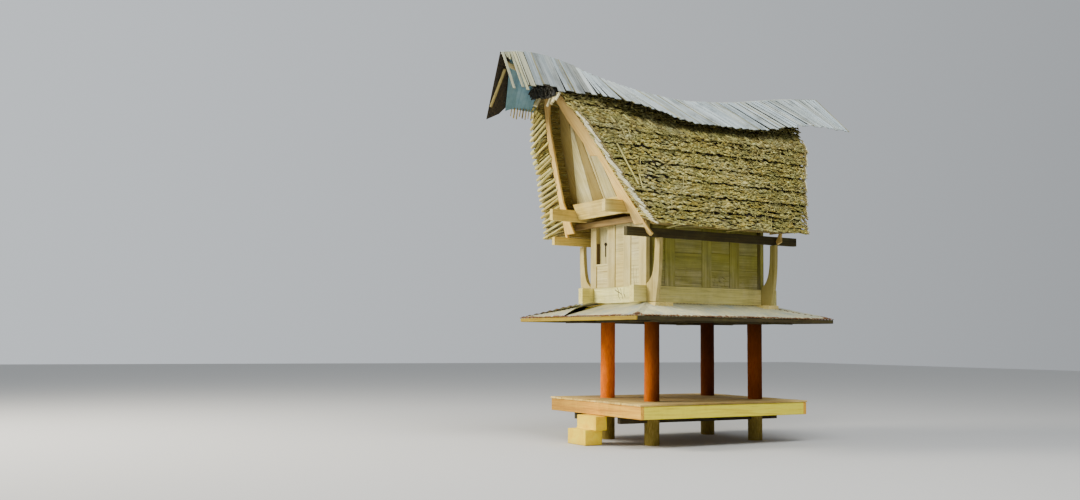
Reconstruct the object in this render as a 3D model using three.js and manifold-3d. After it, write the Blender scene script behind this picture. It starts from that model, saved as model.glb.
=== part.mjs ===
// Rice barn of a tongkonan house, on four round posts, with a saddle roof of bamboo thatch.
// Millimetres, +Z up. The front gable faces -Y and the ridge runs along Y. The origin is on the
// ground, below the middle of the ridge.
import * as THREE from 'three';
import { mergeVertices } from 'three/addons/utils/BufferGeometryUtils.js';
import Module from 'manifold-3d';

const wasm = await Module();
wasm.setup();

// Clearance between pieces that rest on each other
const SEAT = 0.3;

// Driving dimensions: posts and sitting platform
const POST_RADIUS = 140;
const POST_X = 700;
const POST_FRONT_Y = -985;
const POST_REAR_Y = 1415;
const POST_TOP_Z = 2340;
const POST_SIDES = 24;
const PLATFORM = { halfX: 1450, frontY: -1765, rearY: 1995, bottomZ: 510, topZ: 735, edge: 70 };
const JOIST_YS = [-450, 220, 900];
const JOIST_WIDTH = 60;
const DECK = { thickness: 35, overhang: 15, holeRadius: 143 };
const BEARER = { halfWidth: 45, height: 120, setback: 65 };
const STEP_LOWER = { x0: -260, x1: 330, y0: -2145, y1: -1785, topZ: 275 };
const STEP_UPPER = { x0: -250, x1: 370, y0: -1955, y1: -1715, topZ: 510 };
const STEP_OVERLAP = 20;

// Driving dimensions: store box
const FLOOR_BEAM = { halfX: 1180, bottomZ: POST_TOP_Z, topZ: 2520 };
const FLOOR_BEAM_FRONT = { y0: -1265, y1: -865 };
const FLOOR_BEAM_REAR = { y0: 1210, y1: 1600 };
const FLOOR_BEAMS = { front: FLOOR_BEAM_FRONT, rear: FLOOR_BEAM_REAR };
const SILL = { innerX: 760, outerX: 900, topZ: 2820, frontY: -1525, rearY: 1805 };
const FRONT_SILL = { y0: -1270, y1: -1150 };
const REAR_SILL = { y0: 1385, y1: 1500 };
const STORE_FLOOR_THICKNESS = 35;
const WALL = { frontY: -1255, rearY: 1485, depth: 80, outerX: 900, sideDepth: 60, topZ: 4070, relief: 15 };
const FRONT_STUDS = [[-900, -700], [-330, -80], [190, 420], [670, 900]];
const SIDE_STUDS = [[-1175, -1110], [-840, -610], [0, 225], [655, 885], [1335, 1405]];
const HATCH = { x0: -700, x1: -330, z0: 3270, z1: 3970 };
const LEAF = { lap: 30, thickness: 30 };
const PEG = { x: -415, z0: 3420, z1: 3690, radius: 12, knobRadius: 26 };

// Driving dimensions: corner posts, upper beams and gables
const CORNER_POST = { depth: 80, topZ: 3640, footX: 1170, footZ: 2850, topX0: 1145, topX1: 1290 };
const CORNER_BOW_OUTER = [[1250, 2880], [1290, 3080]];
const CORNER_BOW_INNER = [[1145, 3180], [1090, 2960], [950, 2880]];
const EAVE_BEAM = { x0: 1145, x1: 1245, y0: -1915, y1: 2000, bottomZ: CORNER_POST.topZ, topZ: 3800 };
const UPPER_BEAM = { x0: 825, x1: 935, y0: -2155, y1: 2185, bottomZ: WALL.topZ, topZ: 4290 };
const LINTEL = { bottomZ: 3950, frontY: -1395, rearY: 1488, depth: 80 };
const LEAN = 0.477;
const LEAN_Z = 3800;
const BARGE = { y: 1555, thickness: 45, apexZ: 6330, clearance: 6 };
const BARGE_RIGHT_INNER = [[90, 6050], [188, 5750], [304, 5525], [412, 5320], [480, 5090], [665, 5070],
  [723, 4885], [775, 4680], [800, 4370], [800, UPPER_BEAM.topZ + SEAT]];
const BARGE_LEFT_INNER = [[130, 6130], [345, 5870], [470, 5640], [560, 5420], [650, 5200], [780, 4880],
  [945, 4440]];
const BARGE_NECK = [[985, UPPER_BEAM.bottomZ], [985, 3860]];
const BARGE_TAIL = { tipZ: 3645, tip: [[60, 0], [150, 40]], edge: [[0, 215], [0, 60]] };
const GABLE = { recess: 300, thickness: 40, clearance: 8 };
const FOOT_BOARD = { recess: 120, thickness: 40, bottomZ: 4100, topZ: 4390 };

// Driving dimensions: thatch, given as half sections from the eave to the ridge. Its outside is laid in
// courses of split bamboo, and the foot of each course overhangs the one below.
const THATCH_OUTER = [[1870, 3790], [1715, 4075], [1570, 4360], [1422, 4645], [1268, 4930], [1144, 5215],
  [1030, 5500]];
const THATCH_INNER = [[1340, 3790], [1231, 4075], [1123, 4360], [1016, 4645], [911, 4930], [801, 5215],
  [690, 5500]];
const COURSE_OVERHANG = 45;
const THATCH_SHOULDER = { outerX: 600, outerShare: 0.36, innerX: 360, innerShare: 0.6, nominalZ: 6050 };
const THATCH_RIDGE_DEPTH = 300;
const THATCH_END_Y = 1755;
const THATCH_END_SPLAY = 190;
const THATCH_RIDGE_END_Y = 3210;
const THATCH_BAYS = 16;

// Driving dimensions: ridge cap, its underside along the ridge and along the lower edge of each flap
const RIDGE_LINE = [
  [-3755, 6840], [-3300, 6925], [-2600, 6890], [-1750, 6650], [-800, 6510],
  [200, 6440], [1400, 6545], [2600, 6760], [3755, 6900],
];
const RIGHT_FLAP = [
  [-3755, 500, 6010], [-3200, 560, 6130], [-2500, 620, 6120], [-1900, 640, 6130], [-1400, 760, 6050],
  [-950, 900, 5950], [-300, 900, 5800], [700, 900, 5810], [1500, 900, 5840], [2700, 900, 6070],
  [3755, 950, 6040],
];
const LEFT_FLAP = [
  [-3755, 500, 5720], [-3480, 520, 5860], [-3220, 560, 6120], [-2500, 620, 6110], [-1900, 640, 6130],
  [-1400, 760, 6050], [-950, 900, 5950], [-300, 900, 5800], [700, 900, 5810], [1500, 900, 5840],
  [2700, 900, 6070], [3755, 950, 6020],
];
const CAP = { thickness: 40, tipY: 3755, stationY: 3480 };

// Driving dimensions: corrugated skirt roof
const CANOPY = { halfX: 1940, frontY: -2215, rearY: 2245, edgeZ: 2250, wallZ: 2500, thickness: 18 };
const FASCIA = { inset: 15, thickness: 25, bottomZ: 2180, topZ: 2253 };
const RAIL = { thickness: 60, bottomZ: 2170, topZ: 2250 };

// Finishes
const finish = (color, roughness = 0.85, metalness = 0) =>
  new THREE.MeshStandardMaterial({ color, roughness, metalness });
const PALM_POST = finish(0xa8541c, 0.7);
const TAN_WOOD = finish(0xb98f5c);
const DECK_WOOD = finish(0x8a7a60);
const BEARER_WOOD = finish(0x7d6a4e);
const YELLOW_CONCRETE = finish(0xe0c26a);
const PALE_BOARD = finish(0xd9cfa8);
const WEATHERED_BEAM = finish(0xb6a071);
const DARK_BEAM = finish(0x5d4426);
const BARGE_WOOD = finish(0xc09764);
const BAMBOO_THATCH = finish(0x7b6a45, 0.95);
const GREY_BAMBOO = finish(0x9d9c94);
const ZINC_SHEET = finish(0xaab0b2, 0.5, 0.7);

const building = new THREE.Group();

// Adds one named piece
function add(name, geometry, material) {
  const mesh = new THREE.Mesh(geometry, material);
  mesh.name = name;
  building.add(mesh);
}

// Straight box between two corners
function block(x0, x1, y0, y1, z0, z1) {
  const geometry = new THREE.BoxGeometry(Math.abs(x1 - x0), y1 - y0, z1 - z0);
  return geometry.translate((x0 + x1) / 2, (y0 + y1) / 2, (z0 + z1) / 2);
}

// Outline in the XY plane raised from z0 to z1
function raised(points, z0, z1, holes = []) {
  const shape = new THREE.Shape(points.map(([x, y]) => new THREE.Vector2(x, y)));
  shape.holes = holes;
  return new THREE.ExtrudeGeometry(shape, { depth: z1 - z0, bevelEnabled: false, curveSegments: POST_SIDES })
    .translate(0, 0, z0);
}

// Outline in the XZ plane, thick along Y from y0 to y1
function upright(points, y0, y1) {
  const shape = new THREE.Shape(points.map(([x, z]) => new THREE.Vector2(x, z)));
  return new THREE.ExtrudeGeometry(shape, { depth: y1 - y0, bevelEnabled: false })
    .rotateX(Math.PI / 2)
    .translate(0, y1, 0);
}

// Leans a geometry outwards: each height above LEAN_Z moves along Y
function leaned(geometry, side) {
  const position = geometry.attributes.position;
  for (let i = 0; i < position.count; i += 1) {
    position.setY(i, position.getY(i) + side * LEAN * (position.getZ(i) - LEAN_Z));
  }
  return geometry;
}

// Mirrors a geometry across x = 0 and keeps its faces pointing out
function mirrored(geometry) {
  const source = geometry.index ? geometry.toNonIndexed() : geometry.clone();
  const position = source.attributes.position;
  for (let i = 0; i < position.count; i += 3) {
    const corners = [0, 1, 2].map((k) => new THREE.Vector3().fromBufferAttribute(position, i + k));
    corners.forEach((corner) => corner.setX(-corner.x));
    position.setXYZ(i, ...corners[0].toArray());
    position.setXYZ(i + 1, ...corners[2].toArray());
    position.setXYZ(i + 2, ...corners[1].toArray());
  }
  return source;
}

// Solid for cutting and joining
function solid(geometry) {
  const bare = geometry.clone();
  bare.deleteAttribute('normal');
  bare.deleteAttribute('uv');
  const merged = mergeVertices(bare, 1e-3);
  return new wasm.Manifold(new wasm.Mesh({
    numProp: 3,
    vertProperties: new Float32Array(merged.attributes.position.array),
    triVerts: new Uint32Array(merged.index.array),
  }));
}

function fromSolid(body) {
  const mesh = body.getMesh();
  const geometry = new THREE.BufferGeometry();
  geometry.setAttribute('position', new THREE.BufferAttribute(new Float32Array(mesh.vertProperties), 3));
  geometry.setIndex(new THREE.BufferAttribute(new Uint32Array(mesh.triVerts), 1));
  return geometry;
}

const joined = (pieces) => fromSolid(pieces.map(solid).reduce((sum, piece) => sum.add(piece)));
const cut = (geometry, cutters) =>
  fromSolid(cutters.map(solid).reduce((rest, cutter) => rest.subtract(cutter), solid(geometry)));

// Closed plate between two grids of points, columns by rows; faces are turned to point out
function plate(columns, rows, topAt, bottomAt) {
  const vertices = [];
  const index = [];
  const id = (layer, i, j) => (layer * (columns + 1) + i) * (rows + 1) + j;
  for (const at of [topAt, bottomAt]) {
    for (let i = 0; i <= columns; i += 1) {
      for (let j = 0; j <= rows; j += 1) {
        vertices.push(...at(i, j));
      }
    }
  }
  const quad = (a, b, c, d) => index.push(a, b, c, a, c, d);
  for (let i = 0; i < columns; i += 1) {
    for (let j = 0; j < rows; j += 1) {
      quad(id(0, i, j), id(0, i + 1, j), id(0, i + 1, j + 1), id(0, i, j + 1));
      quad(id(1, i, j), id(1, i, j + 1), id(1, i + 1, j + 1), id(1, i + 1, j));
    }
  }
  for (let i = 0; i < columns; i += 1) {
    quad(id(0, i, 0), id(1, i, 0), id(1, i + 1, 0), id(0, i + 1, 0));
    quad(id(0, i, rows), id(0, i + 1, rows), id(1, i + 1, rows), id(1, i, rows));
  }
  for (let j = 0; j < rows; j += 1) {
    quad(id(0, 0, j), id(0, 0, j + 1), id(1, 0, j + 1), id(1, 0, j));
    quad(id(0, columns, j), id(1, columns, j), id(1, columns, j + 1), id(0, columns, j + 1));
  }
  const geometry = new THREE.BufferGeometry();
  geometry.setAttribute('position', new THREE.Float32BufferAttribute(vertices, 3));
  geometry.setIndex(index);
  return signedVolume(vertices, index) > 0 ? geometry : flipped(geometry);
}

function signedVolume(vertices, index) {
  const point = (k) => new THREE.Vector3(...vertices.slice(3 * k, 3 * k + 3));
  let sum = 0;
  for (let i = 0; i < index.length; i += 3) {
    sum += point(index[i]).dot(point(index[i + 1]).cross(point(index[i + 2])));
  }
  return sum;
}

function flipped(geometry) {
  const index = geometry.index.array;
  for (let i = 0; i < index.length; i += 3) {
    [index[i + 1], index[i + 2]] = [index[i + 2], index[i + 1]];
  }
  return geometry;
}

// Value of a line of rows [y, a, b, ...] at y, straight between rows
function along(rows, y) {
  let k = 0;
  while (k < rows.length - 2 && y > rows[k + 1][0]) k += 1;
  const [from, to] = [rows[k], rows[k + 1]];
  const share = (y - from[0]) / (to[0] - from[0]);
  return from.slice(1).map((value, n) => value + share * (to[n + 1] - value));
}

const SIDES = [['left', -1], ['right', 1]];

// Posts, platform and steps
function addPosts() {
  const rows = [['front', POST_FRONT_Y], ['rear', POST_REAR_Y]];
  for (const [row, y] of rows) {
    for (const [side, sign] of SIDES) {
      const log = new THREE.CylinderGeometry(POST_RADIUS, POST_RADIUS, POST_TOP_Z - SEAT, POST_SIDES)
        .rotateX(Math.PI / 2)
        .translate(sign * POST_X, y, (POST_TOP_Z - SEAT) / 2);
      const reach = 2 * POST_RADIUS;
      const half = BEARER.halfWidth + SEAT;
      const mortise = block(sign * POST_X - half, sign * POST_X + half, y - reach, y + reach,
        PLATFORM.bottomZ - BEARER.height - SEAT, PLATFORM.bottomZ + SEAT);
      add(`post_${row}_${side}`, cut(log, [mortise]), PALM_POST);
    }
  }
}

function addPlatform() {
  const { halfX, frontY, rearY, bottomZ, topZ, edge } = PLATFORM;
  for (const [side, sign] of SIDES) {
    const x = sign * POST_X;
    add(`platform_bearer_${side}`, block(x - BEARER.halfWidth, x + BEARER.halfWidth,
      frontY + BEARER.setback, rearY - BEARER.setback, bottomZ - BEARER.height, bottomZ), BEARER_WOOD);
  }
  const z0 = bottomZ + SEAT;
  const joists = JOIST_YS.map((y) => block(-halfX + edge / 2, halfX - edge / 2,
    y - JOIST_WIDTH / 2, y + JOIST_WIDTH / 2, z0, topZ));
  add('platform_frame', joined([
    block(-halfX, halfX, frontY, frontY + edge, z0, topZ),
    block(-halfX, halfX, rearY - edge, rearY, z0, topZ),
    block(-halfX, -halfX + edge, frontY, rearY, z0, topZ),
    block(halfX - edge, halfX, frontY, rearY, z0, topZ),
    ...joists,
  ]), TAN_WOOD);
  const [x, y0, y1] = [halfX + DECK.overhang, frontY - DECK.overhang, rearY + DECK.overhang];
  const holes = [];
  for (const y of [POST_FRONT_Y, POST_REAR_Y]) {
    for (const [, sign] of SIDES) {
      holes.push(new THREE.Path().absarc(sign * POST_X, y, DECK.holeRadius, 0, 2 * Math.PI, true));
    }
  }
  add('platform_deck', raised([[-x, y0], [x, y0], [x, y1], [-x, y1]],
    topZ + SEAT, topZ + DECK.thickness, holes), DECK_WOOD);
}

function addSteps() {
  const boxOf = (step, z0) => block(step.x0, step.x1, step.y0, step.y1, z0, step.topZ);
  const upperFoot = STEP_LOWER.topZ - STEP_OVERLAP;
  add('entry_steps', joined([boxOf(STEP_LOWER, 0), boxOf(STEP_UPPER, upperFoot)]), YELLOW_CONCRETE);
}

// Store box: floor beams, sills, floor and walls
function addStoreBase() {
  const { halfX, bottomZ, topZ } = FLOOR_BEAM;
  for (const [row, { y0, y1 }] of Object.entries(FLOOR_BEAMS)) {
    add(`floor_beam_${row}`, block(-halfX, halfX, y0, y1, bottomZ, topZ), WEATHERED_BEAM);
  }
  const z0 = topZ + SEAT;
  for (const [side, sign] of SIDES) {
    add(`sill_${side}`, block(sign * SILL.innerX, sign * SILL.outerX,
      SILL.frontY, SILL.rearY, z0, SILL.topZ), PALE_BOARD);
  }
  const x = SILL.innerX - SEAT;
  add('sill_front', block(-x, x, FRONT_SILL.y0, FRONT_SILL.y1, z0, SILL.topZ), PALE_BOARD);
  add('sill_rear', block(-x, x, REAR_SILL.y0, REAR_SILL.y1, z0, SILL.topZ), PALE_BOARD);
  add('store_floor', block(-x, x, FRONT_SILL.y1 + SEAT, REAR_SILL.y0 - SEAT,
    z0, z0 + STORE_FLOOR_THICKNESS), BEARER_WOOD);
}

// Plan outline of a wall: flat inside, studs standing out of the panels on the outside
function studdedPlan(start, end, studs, inner, panel, stud) {
  const outside = [];
  for (const [from, to] of studs) {
    outside.push([from, panel], [from, stud], [to, stud], [to, panel]);
  }
  if (studs[0][0] === start) outside.shift();
  if (studs.at(-1)[1] === end) outside.pop();
  return [[start, inner], ...outside, [end, inner]];
}

function addWalls() {
  const z0 = SILL.topZ + SEAT;
  const { frontY, rearY, depth, outerX, sideDepth, topZ, relief } = WALL;
  const frontPlan = studdedPlan(-outerX, outerX, FRONT_STUDS, frontY + depth, frontY + relief, frontY);
  const opening = block(HATCH.x0, HATCH.x1, frontY - depth, frontY + 2 * depth, HATCH.z0, HATCH.z1);
  add('front_wall', cut(raised(frontPlan, z0, topZ), [opening]), PALE_BOARD);
  const rearPlan = studdedPlan(-outerX, outerX, FRONT_STUDS.map(([a, b]) => [-b, -a]).reverse(),
    rearY - depth, rearY - relief, rearY);
  add('rear_wall', raised(rearPlan, z0, topZ), PALE_BOARD);
  const [start, end] = [frontY + depth + SEAT, rearY - depth - SEAT];
  const sideStuds = SIDE_STUDS.map(([a, b]) => [Math.max(a, start), Math.min(b, end)]);
  const sidePlan = studdedPlan(start, end, sideStuds, outerX - sideDepth, outerX - relief, outerX);
  const right = raised(sidePlan.map(([y, x]) => [x, y]), z0, topZ);
  add('right_wall', right, PALE_BOARD);
  add('left_wall', mirrored(right), PALE_BOARD);
  const leafY = frontY + depth + SEAT;
  const board = block(HATCH.x0 - LEAF.lap, HATCH.x1 + LEAF.lap, leafY, leafY + LEAF.thickness,
    HATCH.z0 - LEAF.lap, HATCH.z1 + LEAF.lap);
  const peg = new THREE.CylinderGeometry(PEG.radius, PEG.radius, PEG.z1 - PEG.z0, 10)
    .rotateX(Math.PI / 2)
    .translate(PEG.x, leafY - PEG.radius / 2, (PEG.z0 + PEG.z1) / 2);
  const knob = new THREE.SphereGeometry(PEG.knobRadius, 12, 8)
    .translate(PEG.x, leafY - PEG.knobRadius / 2, PEG.z1);
  add('hatch_leaf', joined([board, peg, knob]), PALE_BOARD);
}

// Corner posts that bow outwards from the sills to the eave beams
function addCornerPosts() {
  const foot = FLOOR_BEAM.topZ + SEAT;
  const top = CORNER_POST.topZ - SEAT;
  const sillX = SILL.outerX + SEAT;
  const shape = new THREE.Shape();
  shape.moveTo(CORNER_POST.footX, foot);
  shape.bezierCurveTo(...CORNER_BOW_OUTER.flat(), CORNER_POST.topX1, top);
  shape.lineTo(CORNER_POST.topX0, top);
  shape.bezierCurveTo(...CORNER_BOW_INNER.flat());
  shape.lineTo(sillX, CORNER_POST.footZ);
  shape.lineTo(sillX, foot);
  shape.closePath();
  const build = (y0) => new THREE.ExtrudeGeometry(shape,
    { depth: CORNER_POST.depth, bevelEnabled: false, curveSegments: 10 })
    .rotateX(Math.PI / 2)
    .translate(0, y0 + CORNER_POST.depth, 0);
  for (const [row, y0] of [['front', WALL.frontY], ['rear', WALL.rearY - CORNER_POST.depth]]) {
    add(`corner_post_${row}_right`, build(y0), WEATHERED_BEAM);
    add(`corner_post_${row}_left`, mirrored(build(y0)), WEATHERED_BEAM);
  }
}

// Beams that carry the roof
function addUpperBeams() {
  for (const [side, sign] of SIDES) {
    add(`eave_beam_${side}`, block(sign * EAVE_BEAM.x0, sign * EAVE_BEAM.x1,
      EAVE_BEAM.y0, EAVE_BEAM.y1, EAVE_BEAM.bottomZ, EAVE_BEAM.topZ), WEATHERED_BEAM);
    add(`upper_beam_${side}`, block(sign * UPPER_BEAM.x0, sign * UPPER_BEAM.x1,
      UPPER_BEAM.y0, UPPER_BEAM.y1, UPPER_BEAM.bottomZ + SEAT, UPPER_BEAM.topZ), WEATHERED_BEAM);
  }
  const top = UPPER_BEAM.bottomZ;
  const reach = (z) => innerX(z) - SEAT;
  const outline = [[-reach(LINTEL.bottomZ), LINTEL.bottomZ], [reach(LINTEL.bottomZ), LINTEL.bottomZ],
    [reach(top), top], [-reach(top), top]];
  add('lintel_front', upright(outline, LINTEL.frontY, LINTEL.frontY + LINTEL.depth), DARK_BEAM);
  add('lintel_rear', upright(outline, LINTEL.rearY, LINTEL.rearY + LINTEL.depth), DARK_BEAM);
}

// Half width of the space under the thatch at a height, below the shoulder
function innerX(z) {
  return along(THATCH_INNER.map(([x, height]) => [height, x]), z)[0];
}

// Half section of the thatch at y, as points from the eave to the ridge
function section(kind, y) {
  const [ridge] = along(RIDGE_LINE, y);
  const base = kind === 'outer' ? THATCH_OUTER : THATCH_INNER;
  const top = kind === 'outer' ? ridge : ridge - THATCH_RIDGE_DEPTH;
  const baseZ = base.at(-1)[1];
  const [x, share] = kind === 'outer'
    ? [THATCH_SHOULDER.outerX, THATCH_SHOULDER.outerShare]
    : [THATCH_SHOULDER.innerX, THATCH_SHOULDER.innerShare];
  return [...base, [x, baseZ + share * (top - baseZ)], [0, top]];
}

// Half section with one more point in each course below the shoulder. On the outside that point is the
// course's head, drawn in below the next course's foot; on the underside it lies halfway up the course.
function coursed(kind, y) {
  const plain = section(kind, y);
  const head = (foot, next) => (kind === 'outer' ? [next[0] - COURSE_OVERHANG, next[1]]
    : [(foot[0] + next[0]) / 2, (foot[1] + next[1]) / 2]);
  const courses = plain.slice(0, -2).flatMap((foot, n) => [foot, head(foot, plain[n + 1])]);
  return [...courses, ...plain.slice(-2)];
}

// Two slopes of thatch. Their ends lean outwards, and their undersides end a splay behind their outsides.
function addThatch() {
  const at = (kind) => {
    const splay = kind === 'outer' ? 0 : THATCH_END_SPLAY;
    const endSection = coursed(kind, THATCH_RIDGE_END_Y);
    const endY = (level) => (level === endSection.length - 1 ? THATCH_RIDGE_END_Y
      : THATCH_END_Y + LEAN * (endSection[level][1] - LEAN_Z)) - splay;
    return (i, j) => {
      const y = (2 * i / THATCH_BAYS - 1) * endY(j);
      const [x, z] = coursed(kind, y)[j];
      return [x, y, z];
    };
  };
  const right = plate(THATCH_BAYS, 2 * THATCH_OUTER.length + 1, at('outer'), at('inner'));
  add('thatch_right', right, BAMBOO_THATCH);
  add('thatch_left', mirrored(right), BAMBOO_THATCH);
}

// Board gables that lean outwards, their foot boards and their barge boards
function addGables() {
  const panel = gableOutline();
  for (const [row, sign] of [['front', -1], ['rear', 1]]) {
    const wall = (points, recess, thickness) => {
      const face = sign * (BARGE.y - recess);
      const back = face - sign * thickness;
      return leaned(upright(points, Math.min(face, back), Math.max(face, back)), sign);
    };
    add(`gable_${row}`, wall(panel, GABLE.recess, GABLE.thickness), PALE_BOARD);
    const x = UPPER_BEAM.x0 - SEAT;
    add(`gable_foot_board_${row}`, wall([[-x, FOOT_BOARD.bottomZ], [x, FOOT_BOARD.bottomZ],
      [x, FOOT_BOARD.topZ], [-x, FOOT_BOARD.topZ]], FOOT_BOARD.recess, FOOT_BOARD.thickness), WEATHERED_BEAM);
    const barge = (inner) => wall(bargeOutline(inner), 0, BARGE.thickness);
    add(`barge_board_${row}_right`, barge(BARGE_RIGHT_INNER), BARGE_WOOD);
    add(`barge_board_${row}_left`, mirrored(barge(BARGE_LEFT_INNER)), BARGE_WOOD);
  }
}

// Underside of the thatch over a leaning plane that lies behind the barge boards, a little inside it.
// The lower of the front and the rear end counts, so that both gables share one outline.
function underThatch(recess, clearance) {
  const lowest = (n, guessZ) => {
    const y = BARGE.y - recess + LEAN * (guessZ - LEAN_Z);
    const heights = [-1, 1].map((side) => section('inner', side * y).at(n)[1]);
    return Math.min(...heights);
  };
  const shoulderZ = lowest(-2, THATCH_SHOULDER.nominalZ);
  const apexZ = lowest(-1, BARGE.apexZ);
  return [
    ...THATCH_INNER.map(([x, z]) => [x - clearance, z]),
    [THATCH_SHOULDER.innerX - clearance, shoulderZ - clearance],
    [0, apexZ - 3 * clearance],
  ];
}

// A barge board runs under the thatch from its tail, outside the eave beam, to the apex. Its inner edge
// comes down to the upper beam, passes outside it and ends in a neck over the eave beam.
function bargeOutline(inner) {
  const edge = underThatch(0, BARGE.clearance);
  const apexTop = edge.pop()[1];
  const beamX = UPPER_BEAM.x1 + SEAT;
  const onTail = ([x, z]) => [EAVE_BEAM.x1 + SEAT + x, BARGE_TAIL.tipZ + z];
  return [
    ...BARGE_TAIL.tip.map(onTail),
    ...edge,
    [SEAT, apexTop],
    [SEAT, BARGE.apexZ],
    ...inner,
    [beamX, UPPER_BEAM.topZ + SEAT],
    [beamX, UPPER_BEAM.bottomZ],
    ...BARGE_NECK,
    ...BARGE_TAIL.edge.map(onTail),
  ];
}

function gableOutline() {
  const bottom = UPPER_BEAM.topZ + SEAT;
  const edge = underThatch(GABLE.recess, GABLE.clearance).filter(([, z]) => z > bottom);
  const footX = innerX(bottom) - GABLE.clearance;
  const right = [[footX, bottom], ...edge];
  return [...right, ...right.slice(0, -1).reverse().map(([x, z]) => [-x, z])];
}

// Ridge cap of weathered boards: underside at y, from the ridge (share 0) to the flap's edge (share 1)
function capUnder(side, share, y) {
  const [ridge] = along(RIDGE_LINE, y);
  const [width, edgeZ] = along(side > 0 ? RIGHT_FLAP : LEFT_FLAP, y);
  return [side * (SEAT / 2 + share * width), y, ridge + SEAT + share * (edgeZ - ridge)];
}

// Two halves that meet on the ridge
function addRidgeCap() {
  const inner = Array.from({ length: THATCH_BAYS + 1 },
    (_, i) => (2 * i / THATCH_BAYS - 1) * THATCH_RIDGE_END_Y);
  const stations = [-CAP.tipY, -CAP.stationY, ...inner, CAP.stationY, CAP.tipY];
  const shares = [0, 0.33, 0.66, 1];
  for (const [side, sign] of SIDES) {
    const under = (i, j) => capUnder(sign, shares[j], stations[i]);
    const over = (i, j) => under(i, j).map((value, n) => (n === 2 ? value + CAP.thickness : value));
    add(`ridge_cap_${side}`, plate(stations.length - 1, shares.length - 1, over, under), GREY_BAMBOO);
  }
}

// Skirt roof of corrugated sheets round the store, on a frame that clasps the posts
function addCanopy() {
  const sillX = SILL.outerX + SEAT;
  const [innerFront, innerRear] = [FLOOR_BEAM_FRONT.y0 - SEAT, FLOOR_BEAM_REAR.y1 + SEAT];
  const { halfX, frontY, rearY, edgeZ, wallZ, thickness } = CANOPY;
  const sheet = (a, b, c, d) => {
    const corners = [[a, d], [b, c]];
    const at = (lift) => (i, j) => {
      const [x, y] = corners[i][j];
      return [x, y, (j === 0 ? edgeZ : wallZ) + lift];
    };
    return plate(1, 1, at(thickness), at(0));
  };
  const front = sheet([-halfX, frontY], [halfX, frontY], [sillX, innerFront], [-sillX, innerFront]);
  const rear = sheet([-halfX, rearY], [halfX, rearY], [sillX, innerRear], [-sillX, innerRear]);
  const beamEnds = Object.values(FLOOR_BEAMS).map(({ y0, y1 }) =>
    block(0, FLOOR_BEAM.halfX + SEAT, y0 - SEAT, y1 + SEAT, FLOOR_BEAM.bottomZ, FLOOR_BEAM.topZ + SEAT));
  const whole = sheet([halfX, frontY], [halfX, rearY], [sillX, innerRear], [sillX, innerFront]);
  const right = cut(whole, beamEnds);
  add('canopy_sheet_front', front, ZINC_SHEET);
  add('canopy_sheet_rear', rear, ZINC_SHEET);
  add('canopy_sheet_right', right, ZINC_SHEET);
  add('canopy_sheet_left', mirrored(right), ZINC_SHEET);
  const [x, y0, y1] = [halfX - FASCIA.inset, frontY + FASCIA.inset, rearY - FASCIA.inset];
  const t = FASCIA.thickness;
  const railX = POST_X + POST_RADIUS + SEAT;
  const railFront = POST_FRONT_Y - POST_RADIUS - SEAT;
  const railRear = POST_REAR_Y + POST_RADIUS + SEAT;
  const rail = (ax, bx, ay, by) => block(ax, bx, ay, by, RAIL.bottomZ, RAIL.topZ);
  const board = (ax, bx, ay, by) => block(ax, bx, ay, by, FASCIA.bottomZ, FASCIA.topZ);
  add('canopy_frame', joined([
    board(-x, x, y0, y0 + t), board(-x, x, y1 - t, y1), board(-x, -x + t, y0, y1), board(x - t, x, y0, y1),
    rail(railX, railX + RAIL.thickness, y0 + t / 2, y1 - t / 2),
    rail(-railX - RAIL.thickness, -railX, y0 + t / 2, y1 - t / 2),
    rail(-x + t / 2, x - t / 2, railFront - RAIL.thickness, railFront),
    rail(-x + t / 2, x - t / 2, railRear, railRear + RAIL.thickness),
  ]), DARK_BEAM);
}

addPosts();
addPlatform();
addSteps();
addStoreBase();
addWalls();
addCornerPosts();
addUpperBeams();
addThatch();
addGables();
addRidgeCap();
addCanopy();

export default building;
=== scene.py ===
"""Looks of a small rice barn: posts, plank platform, corrugated skirt roof, boarded store, bamboo roof.

Metres, +Z up. The front gable faces -Y and the ridge runs along Y. Sizes come from the frame's nodes
where they can. Each piece carries three attributes for its material: "grain", the place in metres along
and across the board it belongs to, "tone", how light that board is from 0 to 1, in many places
painted shade and painted light, and "tint", from 0 for a bleached grey board to 1 for a warm olive
brown one.
"""

import math
import random

import bmesh
import bpy
from mathutils import Matrix, Vector, noise
from mathutils.bvhtree import BVHTree


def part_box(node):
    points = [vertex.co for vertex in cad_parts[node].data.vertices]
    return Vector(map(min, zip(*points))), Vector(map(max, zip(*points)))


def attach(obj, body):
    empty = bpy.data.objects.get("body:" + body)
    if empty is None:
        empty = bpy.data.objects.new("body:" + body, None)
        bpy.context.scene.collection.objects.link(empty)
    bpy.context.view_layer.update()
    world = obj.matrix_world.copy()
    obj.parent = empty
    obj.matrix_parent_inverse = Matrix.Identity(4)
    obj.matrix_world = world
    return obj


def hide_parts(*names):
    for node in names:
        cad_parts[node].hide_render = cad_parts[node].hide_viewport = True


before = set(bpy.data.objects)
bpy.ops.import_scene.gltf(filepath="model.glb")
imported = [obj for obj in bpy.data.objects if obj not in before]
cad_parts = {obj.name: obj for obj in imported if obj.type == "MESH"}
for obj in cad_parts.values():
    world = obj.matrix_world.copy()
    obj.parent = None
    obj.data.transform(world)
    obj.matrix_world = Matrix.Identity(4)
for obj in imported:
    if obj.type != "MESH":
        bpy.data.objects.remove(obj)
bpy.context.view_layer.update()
BODY = "root"
SIDES = (("left", -1), ("right", 1))
ENDS = (("front", -1), ("rear", 1))
X, Y, Z = Vector((1, 0, 0)), Vector((0, 1, 0)), Vector((0, 0, 1))

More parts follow.
